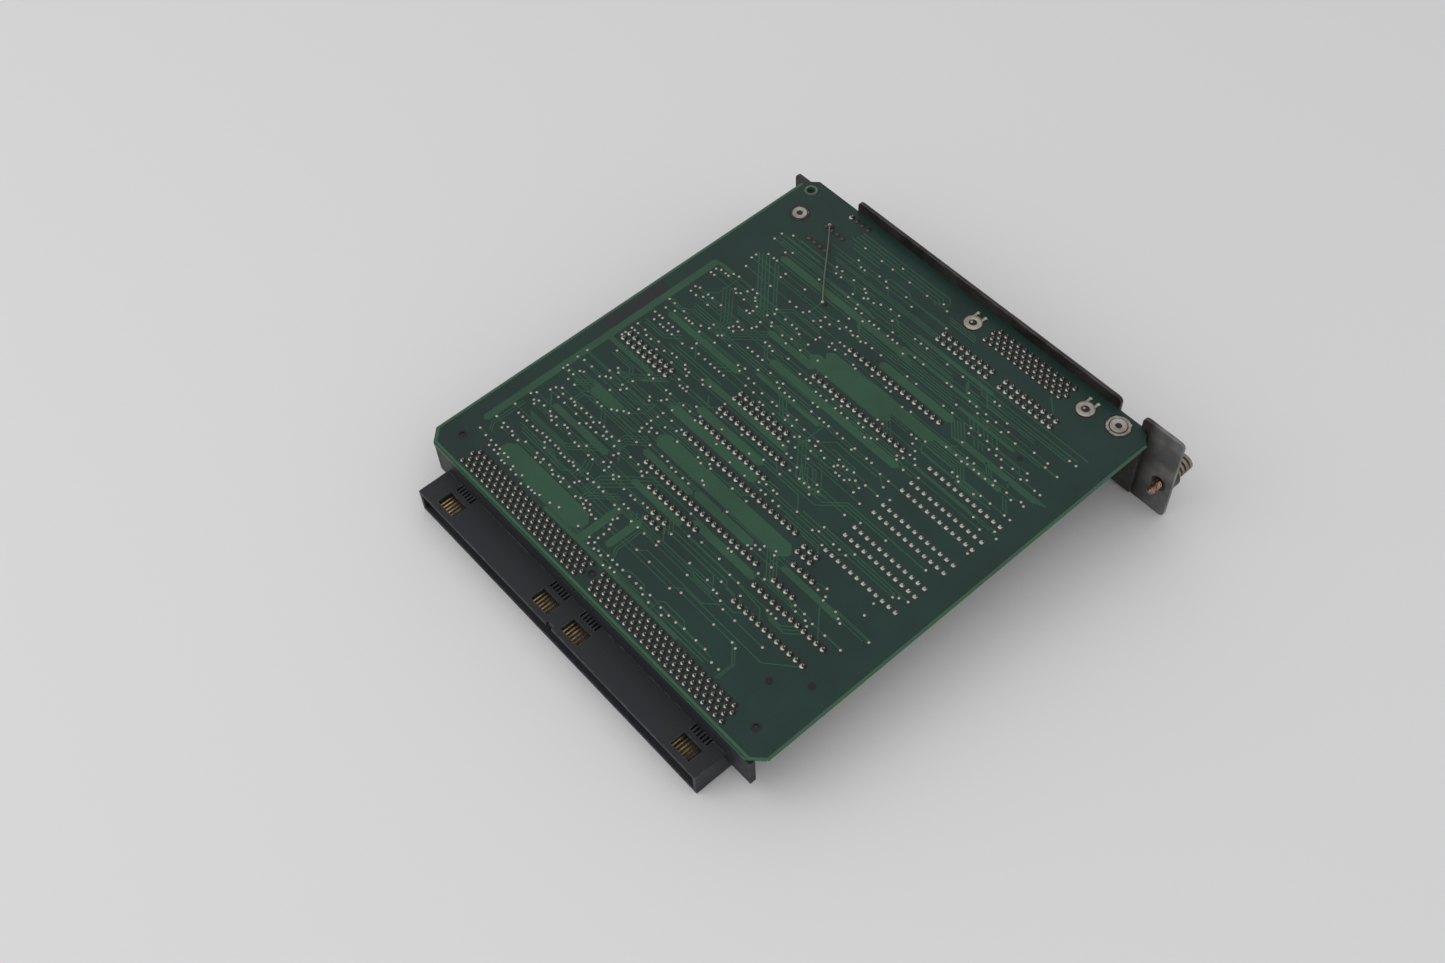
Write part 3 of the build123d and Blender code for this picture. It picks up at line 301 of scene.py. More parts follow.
# bundles of traces: how many, the step in x and y from each to the next, and the first one's
# corners, x and y in turn
traces = [
    (1, 0, 0, -22, 95.8, 16.6, 95.8, 18, 94.4, 18, 92),
    (3, -0.6, -1.35, -22, 94.4, 15, 94.4, 16.2, 93.2),
    (1, 0, 0, -3.5, 86.6, -2, 88.1, 6.6, 88.1, 8, 86.9, 24, 86.9),
    (1, 0, 0, -0.4, 85.2, 2.2, 82.6, 27, 82.6), (2, 1, -1.3, -21, 90.2, -9, 90.2),
    (2, 4, -1.3, -26, 85.1, -12.3, 85.1), (2, 1, -0.75, -21, 81.9, 26, 81.9),
    (2, -4, -2, -34, 78.7, -19, 78.7), (1, 0, 0, -18, 77.9, -8, 77.9, -6.2, 75.9),
    (2, 2, -1.2, 4.6, 78.4, 10, 78.4, 11, 77.6, 24, 77.6),
    (2, 2, -0.85, -40, 74.8, -20, 74.8, -18, 73.6, 4, 73.6),
    (1, 0, 0, 2.4, 74.8, 12, 74.8, 13.8, 73.4), (3, 2, -0.85, 12, 75.4, 30, 75.4),
    (3, -0.6, 0.9, 4, 67.4, 7, 65.2, 24, 65.2), (2, 1, -0.9, 14, 69, 26, 69),
    (4, 1.1, 0.55, -39.5, 65.5, -21.6, 48, -21.6, 46), (2, 1.5, -0.1, -32.6, 66.2, -17.5, 51.2),
    (1, 0, 0, -35.4, 53.7, -35.4, 44, -38, 41.6), (4, -1.0, -0.55, -33, 48.5, -23, 38.4, -23, 33),
    (4, 0.6, -1.0, -12, 45.6, -21.6, 36, -37, 36), (3, 1, -0.85, -27, 44.9, -18, 44.9),
    (2, 1, -0.8, -17.7, 53, -14, 56.8, -2, 56.8), (1, 0, 0, -10, 60, -10, 65),
    (1, 0, 0, -12.6, 52, -4, 50.8), (3, -0.6, -0.9, -12, 49.6, -1, 49.6, 1, 48.4, 5, 48.4),
    (2, 1.1, 0.2, -10.1, 41.2, -6.2, 37.4, -4, 37.4), (1, 0, 0, 6.3, 48, 10.2, 44.6),
    (2, 1, -1.1, -44, 31.8, -38, 31.8, -36, 33.2), (1, 0, 0, -14, 34.4, 3.6, 34.4),
    (3, 1.0, 0.5, -2, 30.8, 8, 30.8, 14, 25.4, 20, 25.4), (1, 0, 0, -24.4, 25.2, -20, 21.2),
    (3, 2.1, 0, -15, 24, -12, 26.6), (2, 1, -0.9, -43, 20.4, -34, 20.4, -30, 24.2),
    (3, 0.6, -0.85, 22, 90.4, 33, 90.4), (1, 0, 0, 64.5, 90, 70.2, 84.6, 70.2, 83.6),
    (1, 0, 0, 44, 79.9, 88, 79.9), (1, 0, 0, 28, 78.5, 40, 78.5, 41, 77.7, 86, 77.7),
    (1, 0, 0, 46, 79, 49.6, 75.4, 84, 75.4), (2, 0.7, -0.8, 50, 77.4, 53.2, 74.2, 72, 74.2),
    (5, 1.1, -0.95, 20, 74.6, 38, 74.6), (3, 0.4, -0.9, 43, 76.6, 45.4, 74.2, 50, 74.2),
    (4, 1.4, -0.95, 20, 68.6, 44, 68.6), (1, 0, 0, 56, 69, 86, 69), (1, 0, 0, 54, 68.2, 80, 68.2),
    (3, 1.2, 0.5, 52, 67.6, 56.4, 63.4), (2, 1.6, 0, 57.6, 67.8, 62, 63.6),
    (2, 1.6, 0.4, 61.5, 67.4, 65.4, 63.4), (1, 0, 0, 67, 63.5, 76, 63.5, 78, 61.6),
    (5, 0.9, 0.42, 50, 62, 54.8, 57.4, 87, 57.4), (3, 1.3, 0.3, 60, 61.4, 61.6, 59.8),
    (3, 1.0, 0, 68, 58, 70.6, 55.4), (1, 0, 0, 76, 58.6, 78.4, 56.2), (1, 0, 0, 56.2, 54, 58.2, 56),
    (4, -0.5, -0.8, 50.5, 52.1, 64.6, 52.1, 68, 48.6, 76, 48.6), (2, 1.3, 0, 79.5, 52.8, 83, 49.2),
    (2, 0.5, -0.9, 22, 49.8, 44, 49.8), (3, -1.1, -0.3, 37.5, 48.6, 42, 44.4),
    (1, 0, 0, 49, 50.6, 52.6, 46.8, 80, 46.8), (1, 0, 0, 54.6, 41.8, 80, 41.8),
    (1, 0, 0, 30, 39.8, 51, 39.8, 52.8, 38.8), (1, 0, 0, 30, 27.9, 32.8, 31, 49.9, 31),
    (1, 0, 0, 33.8, 28.4, 43.4, 28.4, 44.3, 27.2), (1, 0, 0, 49.9, 26.7, 54.9, 26.6),
    (1, 0, 0, 50, 32.2, 53.8, 29.6), (1, 0, 0, 20, 32, 26, 32, 26, 21),
    (1, 0, 0, 46.7, 25.2, 49.3, 24.6),
    (3, 1.2, 0.45, 24, 24, 30.5, 17.4, 33.8, 13.6, 42, 13.6, 42.2, 14.3),
    (2, -1.1, -1.2, 33, 20.6, 37.5, 20.6, 42.2, 16, 42.2, 14.3), (3, 1.7, 0.5, 32, 18, 36, 14.2),
    (3, 5, -1.0, 25, 23.8, 33, 23.8), (1, 0, 0, 35, 13.1, 45.7, 13.1, 51, 18.4, 82.3, 18.4),
    (1, 0, 0, 26, 13, 29, 10.8, 44.9, 10.8, 51.5, 17.4, 67.6, 17.4),
    (1, 0, 0, 20, 9.8, 39, 9.8, 43.2, 5.7), (1, 0, 0, 52.4, 7.8, 65, 7.8),
    (1, 0, 0, 44.4, 6.9, 82, 6.6, 82.3, 5.2), (1, 0, 0, 52.4, 5.3, 58.4, 5.3),
    (1, 0, 0, 50.8, 4.1, 62, 4.1, 63.4, 5.2), (2, 0.5, -0.8, 42, 1.9, 56, 1.9, 58, 0),
    (2, 1, 1, 26, 3.2, 29, 5.9, 33, 5.9), (2, 0, -0.8, 22, -1.6, 28, -1.6, 30, 0.2),
    (4, 1.0, 0.35, 44.5, -7, 53.8, -16.2), (1, 0, 0, 71, -11.8, 78, -19),
    (1, 0, 0, 75, -8.9, 88.2, -8.9), (1, 0, 0, 78.5, -16.6, 84.7, -16.6),
    (2, 0, -1.1, 54, -15.2, 64, -15.2, 66, -16.4), (1, 0, 0, 64, -7, 66, -6.4, 68, -6.4),
    (3, 1.2, -0.5, 61.9, -23.7, 68, -23.7, 71.4, -20.4),
    (1, 0, 0, 28.4, -23.3, 49, -23.3, 60, -24.1, 62.4, -26.5),
    (1, 0, 0, 24, -24.9, 47, -24.9, 49, -26.8, 61, -26.8),
    (1, 0, 0, 24.4, -26.4, 43, -26.4, 46.4, -29.6),
    (1, 0, 0, 21, -26.2, 24.8, -29.6, 38, -29.6, 40, -31.2, 47, -31.2),
    (1, 0, 0, 50.7, -30.4, 56, -30.4, 58, -28.6),
    (1, 0, 0, 22, -37.2, 24, -34.9, 48, -34.9, 52, -31),
    (1, 0, 0, 38, -38.1, 41, -35.4, 73, -35.4, 81, -28.6),
    (2, 0.6, 0.4, 62.9, -36.9, 68, -41.6, 68, -47.5),
    (1, 0, 0, 25, -44.4, 26.4, -43, 32.4, -43, 33.6, -44),
    (1, 0, 0, 39.4, -47, 39.4, -43.2, 40.4, -42.3, 49, -42.3, 50.7, -44),
    (1, 0, 0, 32, -46.9, 62, -46.9), (3, 1.0, 0.6, 19.5, -24, 23, -27.6),
    (4, 1.0, -0.8, 6.6, -16.6, 2, -21, -5.4, -28.6, -5.4, -35),
    (3, -1.2, 0.2, 5.6, -29.2, -1.2, -35.6, -1.2, -37),
    (2, 0.9, 0, 17.2, -32, 17.2, -41, 18.6, -43.6), (4, -1.0, 0.5, -4, -10.6, -9, -15.4, -9, -19),
    (2, 0.4, -1.0, -6, -20.6, -10, -17, -12.8, -17), (2, 1.4, 0.2, -25.4, -11.6, -20.6, -16),
    (2, 1.1, -1.0, -33.6, -16, -33.6, -12, -31.6, -10.8, -11, -10.8),
    (3, 0.6, -0.75, -39, -11.4, -34.6, -7, -19, -7),
    (1, 0, 0, -45.2, -1.7, -16.8, -1.7, -14.4, 0.6),
    (2, 0.6, 0.8, -39.4, 4, -31, 4, -27.4, 0.4, -27.4, -0.8),
    (3, 1.1, -0.4, -22, 9.2, -28.4, 2.8, -33, 0.6), (3, 1.0, 0, -20.4, 9.4, -26.2, 3.6),
    (5, 2.54, 0, -38.6, 9, -36.4, 7), (1, 0, 0, -14.4, 0.4, -14.4, -4, -17.4, -7.2),
    (1, 0, 0, -40, -19.6, -36.6, -22.8, -12, -22.8),
    (2, 1, 0.8, -39, -22, -35.6, -25.6, -33, -25.6),
    (3, -0.9, 0.55, -13, -23, -20, -29.8, -37, -29.8),
    (2, -1.0, 0, -42.4, -28, -42.4, -40, -40.6, -42), (3, 1.4, -0.9, -37, -33.6, -20, -33.6),
    (3, -1.1, -0.6, -10.6, -27, -9.4, -29, -9.4, -33),
    (2, 0.6, 0.8, -20, -35.6, -15, -35.6, -13, -34), (2, 1.4, 0, 12.4, -9.4, 16.6, -5.4),
    (4, 1.2, 0, 25.4, -17, 28, -19.4), (2, 1.4, 0.2, 22, 3.4, 24.4, 4.9),
    (2, 0, -1.2, -12, 4.2, -8.6, 7.8, -6, 7.8), (1, 0, 0, -9, 12, -2.6, 12, -0.6, 14),
    (1, 0, 0, -6, 14.4, -3, 11.4), (2, 2, 1.2, -30, 19.2, -9, 19.2),
    (3, -1.4, -0.9, 13.6, -28, 17.2, -31.8),
]
starts, ends = [], []
for count, step_x, step_y, *corners in traces:
    moved = (np.array(corners, float).reshape(1, -1, 2)
             + np.arange(count)[:, None, None] * np.array((step_x, step_y), float))
    starts.append(moved[:, :-1].reshape(-1, 2))
    ends.append(moved[:, 1:].reshape(-1, 2))
starts, ends = (first_pin + np.concatenate(part) * MM for part in (starts, ends))
forms = [bars(starts, ends, TRACE_W * MM, COPPER_T)]

# grounded areas: left, right, rear and front limit, and how far each corner is cut
areas = [
    (-33, 24, 68, 70.6, 1.0), (20, 53, 70.6, 71.8, 0.4), (20, 51, 60.2, 63.2, 1.2),
    (6, 52, 50.3, 54.3, 1.9), (3, 38, 46, 50.4, 2), (24, 78, 52.8, 54.6, 0.8),
    (-13, 8, 44, 46.4, 1.1), (-4, 52, 36.4, 39.2, 1.3), (-40, -6, 26.2, 28.6, 1.1),
    (-3, 25, 30.6, 32, 0.6), (-47.2, -44.6, -41, 53.4, 0.8), (-45, -37.6, 52.2, 53.8, 0.6),
    (-12, 25, 17, 19.4, 0.8), (-47.2, -24, 6.6, 8.3, 0.6), (-5, 24, 8, 10.6, 0.9),
    (-11, 27, 2.3, 5.6, 1.2), (-5, 52.8, -9, -3.4, 2.2), (18, 43, -13.2, -10.2, 1.2),
    (-4, 18, -14, -11.8, 0.9), (54, 77, -11.4, -9.4, 0.8), (25, 52, -20, -17.6, 1.0),
    (-36, -10, -23, -20.9, 0.9), (-34, 5.4, -46.2, -39.2, 2.4), (6.2, 9.0, -47, -31, 0.8),
    (13.6, 16.2, -42.6, -30, 0.8), (2, 24, -23.4, -21.2, 0.8), (-8, 52, -48, -46.8, 0.4),
    (20, 52, 77.2, 78.6, 0.4), (48, 71, 66.4, 67.6, 0.4), (-33, -20, -10.2, -8.6, 0.5),
]
for layer, (left, right, rear, front, cut) in enumerate(areas):
    outline = np.array([(left + cut, rear), (right - cut, rear), (right, rear + cut),
                        (right, front - cut), (right - cut, front), (left + cut, front),
                        (left, front - cut), (left, rear + cut)])
    forms.append(prism(first_pin + outline * MM, solder_z - COPPER_SINK,
                       solder_z + COPPER_T * (AREA_TOP - AREA_STEP * layer)))
masked_copper = finish("masked_copper", COPPER_GREEN, COPPER_STAIN, 0.7, 45.0, 3000.0,
                       (0.34, 0.48), bump=0.06, gloss=0.28)
surface("copper_pattern", joined(forms), masked_copper, 20)

# the border, a wider line that follows the rim
border = first_pin + np.array([(95.7, 96.4), (95.7, -53.2), (92.0, -56.9), (-48.9, -56.9),
                               (-52.7, -53.1), (-52.7, 96.4)]) * MM
surface("border_line", bars(border[:-1], border[1:], BORDER_W * MM, 1.1 * COPPER_T),
        finish("border_copper", BORDER_GREEN, BORDER_STAIN, 0.6, 60.0, 3000.0, (0.34, 0.48),
               bump=0.06, gloss=0.28), 20)

# a bare dark block along the left edge, where the copper was left off
BLOCK = rectangle(-52.0, -46.9, 9.8, 34.6)
BARE_BROWN, BARE_STAIN = (0.014, 0.013, 0.016), (0.012, 0.018, 0.017)
surface("bare_block",
        prism(first_pin + BLOCK * MM, solder_z - COPPER_SINK, solder_z + COPPER_SINK),
        finish("bare_laminate", BARE_BROWN, BARE_STAIN, 0.6, 120.0, 3000.0, (0.45, 0.6),
               gloss=0.3), 20)


# Vias: small plated holes that carry traces through the board. The tin bath filled them, so each
# is a bright low dome in a narrow ring that the mask leaves free.
VIA_R, VIA_RISE, VIA_RING_R, VIA_SIDES = 0.43 * MM, 0.16 * MM, 0.62 * MM, 10
TIN = (0.43, 0.41, 0.365)
TIN_STAIN = (0.22, 0.20, 0.165)
# rows of vias in millimetres from the first pin: a distance to the front, and places along it
via_rows = [
    (94.2, -2.7), (92.9, 16.7), (91.6, 19.4, 10.6, -4.7, 2.9, -9.7, -17.3),
    (86.4, -15, -5.5, -2.5, 6.5, 24.1), (84.8, -0.4, 10.5, -12.3, -10.6),
    (79.3, 6.8, 10.5, -17.7, -15.2, -9.9, -4.9), (78.4, -3.4, 3.3, -37.4),
    (77.2, -1.3, -15.9, -13.6, 1.3),
    (76.3, -2.3, 10.5, 20.6, 23.1, -40.6, 25.7, 34.4, 41, 54.2, 56.2, 84.1, 86.6), (75, -5.9),
    (73.1, 13.9, -6, -1.7, -40.6, -31.9, 62.3, 46.6), (71.5, -0.9, 1.7, -33.7, -17.7),
    (71, 5.7, 7.8, 9.9, 13.9, 16, 18, 25.7, 29.4, 39.4, 41.3, 49, 51.7, 55.7, 59.8, 64.8, 75.1,
     80.4), (69.4, 4.3, 22.1, 53.7, 57.8, 63.3, 69, 80.9, 85.5),
    (67.1, 0.6, -36.9, -34.4, -32.9, 47.1), (65.3, -26.8, -17.7),
    (64, -39.5, -0.9, 2.6, 4.6, 7.7, 11.3, 14.1, 18, 29.4, 33.3, 44.8, 48.5, 56.2, 59.9, 62.8,
     66.7, 78.8), (63.2, -26.8, 6.3, 9.8),
    (62.1, -39.5, 1.6, -4.9, 57.1, 65.3, 68.2, 70.2, 74.8, 80.4), (61, -1.8, 78.9, 84.4, 86.5),
    (60, -10, -4.9, 72.3), (58.3, -2.9, -6.3, -38, -26.3, -17.2, -14.2, -11.1, 5.7, 7.7, 58.1),
    (56.3, 10.3, 4.3, 22, 28.1, 30.1), (55.2, 6.8, 0, 14.9, 39.8, 63.1, 65.8, 74.3, 84.5),
    (54.6, 4.7, 16.4, 36.7, 79.4, 86),
    (53.6, -36.1, -0.3, 56.1, 60.1, 64.7, 67.3, 69.3, 71.8, 74.9, 82),
    (53.1, -38.1, -29, -26.9, -17.7, 62.8), (52.3, -12.7, -9.6, -7.6),
    (51.4, -5.4, -38.7, -40.1, -42.2, -29.6, -25.9, -16.7), (50.5, -43.7, -24.9, -0.4, 50.5),
    (49.3, -30.5, -17.9, -22.8, -33, 45.9, 47.9),
    (48.3, -43.7, -42.1, -31.5, -27.8, -14.7, -5.5, 6.3, 63.7, 65.8, 75.1, 78.8, 84.4, 86.6),
    (47.2, -22.3, -13.7, -8.6, -0.4, 48.5, 67.2, 73.3),
    (45.8, -23.8, -5.5, -17.3, -22.3, 12.7, 35.1, 37.2, 50.9), (43.7, -16.7, 50.9, 52.9),
    (42.2, -17.3, -0.4, 54.5, 86.4),
    (41.4, -37.1, -35.1, -31, -10.1, -8.1, -41.1, 20.4, 24, 50.3, 78.8),
    (40.7, -6, 6.4, 9.2, 11.2, -42.6, -22.3, 32.2, 34.2, 40.2, 48.5, 88.4),
    (39.6, -18.8, -20.4, -37.5, 14.8, 16.9, 19.4, 23.4, 25.9, 28.5, 38.7, 49.4, 58.5, 83),
    (38.4, -42.1, -39.6, -34, -21.8, 37.2, 53.4), (37.1, -20.3, -22.3),
    (36, -12.2, -10.1, -7.6, -5.5, 17.3, 19.4), (34.4, -26.5, 5.7, 0),
    (33.4, 4.1, 19.4, -21.4, 22.9, 24.9, 26.9, 30.6, 33.1, 38.2, 43.2, 45.3),
    (32.4, -26.4, -3.5, -16.7, 6.2, 8.7, 10.7, 12.7, -22.3, 37.8, 49.9, 53.4),
    (31.2, -44.1, -41.6, -37.1, -28.9, 86.3), (29.8, -33, -34.5, -31.5, -20.8, -6.6, 53.9),
    (29.2, -39.2, -27.4, -9.1), (28, -7.1, -3, -0.4, -42.2, 58.4, 18.7),
    (27.2, 4.1, 8.7, 15.7, 22.9, 28.9, 38, 44.3, 10.7), (26.4, 40.6, 42.2, 49.9, 54.9),
    (25.5, -1.5, 2.1, 16.3, 19.4, -24.4, 29.6, 26.9, 32, 39.2, 46.7),
    (24.4, 6.1, 7.6, 12.2, 23.9, -41.1, -43.2, -39.6, -36.6, -34.6, -32, 34.6, 38.7, 45.3, 49.3),
    (23.2, -23.9, -20.8, -17.8, -15.2, -13.2, -11.2, -9.1, 22.9, 30, 40.7, 42.2, 44.3),
    (22.2, -38.1, -32.5, -41, -36.6, -34.6, -27.4, 49.3), (20.7, 22.9, 31.6, 53.4, 25.9),
    (18.6, 22.9, 82.3),
    (17.3, -43.2, -39.6, -33, -26.5, -24.4, -20.3, -12.2, -8.6, 25.9, 27.9, 67.6),
    (16.2, -37.7, -35.5, -29, -18.9, -17.3, -10.7, -0.5, 31.6, 40.2, 58.4),
    (14.8, -43.1, -41.7, -40.1, -31.1, -23.9, -16.7, 53.3, 42.2), (13.9, 31, 35.1, 37.2, 39.2),
    (12.2, -43.1, -13.3, -17.2, 0.4, 2.5, 11.7, 41.1), (10.8, -43.1, -15.2, -13.8, -12.2, 22.9, 30),
    (9.2, -5.6, 6.1, 18.3), (7.6, -2, 52.4, 65, 86.3),
    (6.6, -24.9, -22.9, -16.7, -14.8, -8.7, -5.6, 83.7),
    (5.5, -39.1, -2, 43.2, 34.6, 33, 30, 52.4, 58.4, 60.9, 63.5, 82.3), (4.4, -13.8, 9.1, 28, 50.8),
    (2.9, -14.7, -9.6, 16.8, 23.4, 32.5, 35.6, 38.1, 30.5, 56.4), (1.3, -26.4, -33.5, -18.2),
    (0.2, -32, -17.2, -6.6, -10.6, -2, 80.2), (-1.2, -34.5, -45.6, -2.7),
    (-1.9, -27.5, -25.4, -10.6, 13.3), (-2.8, -32, -6.1, 9.1, 14.7, 24.4, 30.5),
    (-3.6, -33.5, -26.4, 11.2, 0.5), (-4.3, -43.1, -39.5, -16.8, -10.9, 81.2), (-5, -45.6, -34.8),
    (-6, -28.5, -10.8, -8.7, -6.1, 68), (-7.4, -39.5, -8.1, -17.7, 16.3),
    (-8.1, -10.7, -40.6, -19.3, 17.8, 49.1, 66.5, 69.6),
    (-9.4, -45.1, -20.9, -10.1, 49.8, 45.6, 70, 75, 29.5, 88.2),
    (-10.4, -41, -43.1, -22.4, -4.1, 1.5, 4, 77.1),
    (-11.1, -45.1, 6.6, 8.6, 11.7, 14.3, 43.6, 45.6, 78.5), (-11.8, -27.4, -25.4),
    (-12.7, -7.7, -40.6, -37.5, 42.1, 43.7, 52.2), (-16.2, -39.1, -20.9, -18.8, -11.6, 65.9, 69.7),
    (-16.8, -34, -32.3, -28.9, -26.4, -24.3, -16.8, -14.3, 51.2, 53.8, 73.5, 78.5, 84.7),
    (-17.5, -37.1, -31.1, -40.6, -22.3, -4.6, -1, 3, 22.9, 39.1, 40.6, 71.4, 67.4),
    (-18.5, -14.7, -16.3, -11.1, 1.5, 73),
    (-19.3, -41.1, -37.1, -34.1, -28.4, -23.4, -21.4, -18.8, -8.1, 3), (-20.8, -24.9, -8.6),
    (-21.7, 32.5, 40.1), (-23, -43.1, -7.1, 28.4, 46.1, 49.7, 61.9, 63.4, 65.4),
    (-24.5, -44.1, -40.1, -37.5, -34.5, -31.5, -27.4, -26, -16.8, -8.7, -6.2, -1.5),
    (-25.4, -41.4, -32.9, -23.9, -3.1, 10.7, 12.7, 53.3),
    (-26.3, -40.2, -31.5, -29, -20.2, -18.3, -13.7, -11.7, -6.2, -1.9, 3, 6.1, 8.1, 24.4, 46.2),
    (-28.8, 35.5, 43.1), (-29.7, 7.1, 9.1, 46.7, 48.2), (-30.6, -44.1, -8.6, 23.9, 50.7),
    (-31.3, -29.5, -27.5, -25.8, -23.3, -21.7, -14.8, -5, -2.6, -0.5),
    (-31.9, -40.6, -38.5, -36.5, -33.5, -31.5, -19.9, -18, -16, -13.6, -11.7, -7.1, 5.5, 7.5, 13.2,
     16.1, 19, 24.4, 38, 53.3, 58.2, 69.7), (-32.9, -26.4), (-34.2, -24.8, -8.1, 9.7),
    (-35.5, -8.7, 9.1),
    (-37, -30.4, -24.8, -21.7, -18.8, -12.2, -1.4, 0.5, 10, 21.8, 27.4, 41.3, 55.2, 62.9),
    (-37.6, -44.1, -40.6, -38.5, -36.4, -16.8, -13.7, -8.6, -3.2, 64.9),
    (-38.4, -35, -32.5, -15.4, -11.7, -23.8, -21.4, -4.7, -1, 2, 11, 38),
    (-39, -39.6, 0.4, 3.5, 5.5), (-40.6, 11.3), (-42.6, 11.2), (-43.9, -44, 36, 50.7, 55.7, 59.5),
    (-44.3, -40.6, -38, -35.5, -33.6, -31.4, -29.5, -4.9, 4, 9.2, 11.7, 17.8, 19.8, 21.9, 24.4,
     27.4, 30.4, 32.5, 41.1, 44.6, 47.6), (-45.3, -25.8, -21.3, -8, 14.7, 34.4, 63.8, 66.7),
    (-45.8, -36.9, -34.5, -32.5, -12.2, 10.6, 13.2, 16.3, 37.5, 43.1),
    (-46.5, -29.9, -28.4, -25.3, -22.8, -16.8, -15.2, -13.7, 21.3, 23.3), (-47.4, -19.2, 19.3),
]
via_places = np.array([(x, front) for front, *row in via_rows for x in row], float)


def skin(rings, sides, closed=False):
    """Faces over rings of points: quads from each ring to the next and flat caps at both ends.
    A closed form has no caps: its last ring leads back to its first."""
    j = np.arange(sides)
    k = (j + 1) % sides
    ring = np.arange(rings if closed else rings - 1)[:, None]
    here, above = ring * sides, (ring + 1) % rings * sides
    quads = np.stack([here + j, here + k, above + k, above + j], -1).reshape(-1, 4)
    return [quads] if closed else [quads, j[None, ::-1], (rings - 1) * sides + j[None]]


def turned(profile, sides, closed=False):
    """A turned form: each (radius, height) goes once round the axis, at radius * (cos, sin)."""
    r, z = np.asarray(profile, float).T
    angle = np.arange(sides) * 2 * math.pi / sides
    points = np.stack([np.outer(r, np.cos(angle)), np.outer(r, np.sin(angle)),
                       np.outer(z, np.ones(sides))], -1)
    return points.reshape(-1, 3), skin(len(r), sides, closed)


def disc(radius, rise, sides=32):
    """A flat disc that stands a little into the board."""
    return turned([(radius, -COPPER_SINK), (radius, rise)], sides)


def on_board(places):
    """Places in millimetres from the first pin, as points on the solder side."""
    flat = first_pin + np.asarray(places, float) * MM
    return np.c_[flat, np.full(len(flat), solder_z)]


# each via is led along the board to the next one near its row: straight, then a jog at 45
# degrees. The jog is a little longer than the step between them, so that it's never nothing.
LINK_ROW, LINK_LEAST, LINK_REACH, LINK_DRIFT = 1.3, 3.2, 38.0, 2.7
LINK_W, LINK_SPARE = (TRACE_W - 0.04) * MM, 0.01
for shift in (0.0, 0.5):
    row = np.floor(via_places[:, 1] / LINK_ROW + shift)
    order = via_places[np.lexsort((via_places[:, 0], row))]
    here, there = order[:-1], order[1:]
    across, over = (there - here).T
    near = (np.abs(over) < LINK_DRIFT) & (across > LINK_LEAST) & (across < LINK_REACH)
    here, there, over = here[near], there[near], over[near]
    corner = np.c_[there[:, 0] - np.abs(over + LINK_SPARE), here[:, 1]]
    forms = [bars(first_pin + a * MM, first_pin + b * MM, LINK_W, COPPER_T * (1.08 + 0.12 * shift))
             for a, b in ((here, corner), (corner, there))]
    surface(f"via_links_{int(2 * shift) + 1}", joined(forms), masked_copper, 20)

via_dome = [(VIA_R, -COPPER_SINK), (VIA_R, 0.3 * VIA_RISE), (0.82 * VIA_R, 0.75 * VIA_RISE),
            (0.45 * VIA_R, VIA_RISE)]
tin_bath = finish("tin_bath", TIN, TIN_STAIN, 0.55, 500.0, 6000.0, (0.22, 0.42), 0.75, 0.2)
surface("plated_vias", copies(turned(via_dome, VIA_SIDES), on_board(via_places)), tin_bath,
        80)
mask_gap = finish("mask_gap", (0.012, 0.020, 0.018), (0.02, 0.014, 0.010), 0.7, 300.0, 3000.0,
                  (0.4, 0.55))
surface("mask_openings",
        copies(disc(VIA_RING_R, 1.3 * COPPER_T, VIA_SIDES), on_board(via_places)), mask_gap,
        30)


# Solder joints of the leads: the bath left a low dome on each pad, with the lead's clipped end in
# On the side away from the lamps each joint has a dark bead, and the mask a dark film beside
# it: partly flux, partly painted shade and shadow of the joint.
JOINT_SIDES, BEAD_SIDES, FILM_SIDES, LEAD_SIDES = 12, 10, 14, 8
PAD_R, PAD_RISE = 0.84 * MM, 0.42 * MM
BEAD_R, BEAD_RISE = 0.70 * MM, 0.60 * MM
SHADE_SIDE_DRIFT, FLUX_SHADOW_DRIFT = np.array([(0.26, 0.36, 0), (0.12, 0.28, 0)]) * MM
LEAD_R, TAIL_LEAD_R = 0.22 * MM, 0.18 * MM
HAIRBREADTH = 0.01 * MM


def tips(node):
    """Where a CAD node's joints stand: its highest corners, as places on the solder side."""
    mesh = frame["nodes"][node].data
    points = np.empty(len(mesh.vertices) * 3)
    mesh.vertices.foreach_get("co", points)
    points = points.reshape(-1, 3)
    top = points[points[:, 2] > points[:, 2].max() - HAIRBREADTH]
    flat = np.unique(np.round(top[:, :2], 5), axis=0)
    return np.c_[flat, np.full(len(flat), solder_z)]


def dome(radius, rise, sides=JOINT_SIDES):
    """A low turned dome that stands a little into the board."""
    return turned([(radius, -COPPER_SINK), (radius, 0.3 * rise), (0.86 * radius, 0.68 * rise),
                   (0.55 * radius, 0.93 * rise), (0.2 * radius, rise)], sides)


def clipped_leads(places, radius, rise):
    """The clipped end of a lead at each place."""
    return copies(turned([(radius, 0), (radius, 0.9 * rise), (0.7 * radius, rise)], LEAD_SIDES),
                  places)


LAMP_LEADS = [(x, 97.7) for x in (-30.2, -27.7, -25.1, -22.4)]
FLUXED_FROM = (-5 * MM, 80 * MM)
raised = np.concatenate([tips("solder_joints"), on_board(LAMP_LEADS)])
fine_solder = finish("fine_solder", TIN, TIN_STAIN, 0.6, 700.0, 5000.0, (0.22, 0.42), 0.75, 0.3)
# dark flux; beside joints, round rivets, in peg gaps and in screw recesses it is painted shade
flux_and_shade = finish("flux_and_painted_shade", (0.006, 0.007, 0.006), (0.016, 0.013, 0.010), 0.6, 250.0, 3000.0,
              (0.25, 0.5), gloss=0.3)
joint_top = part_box("solder_joints")[1][2] - solder_z
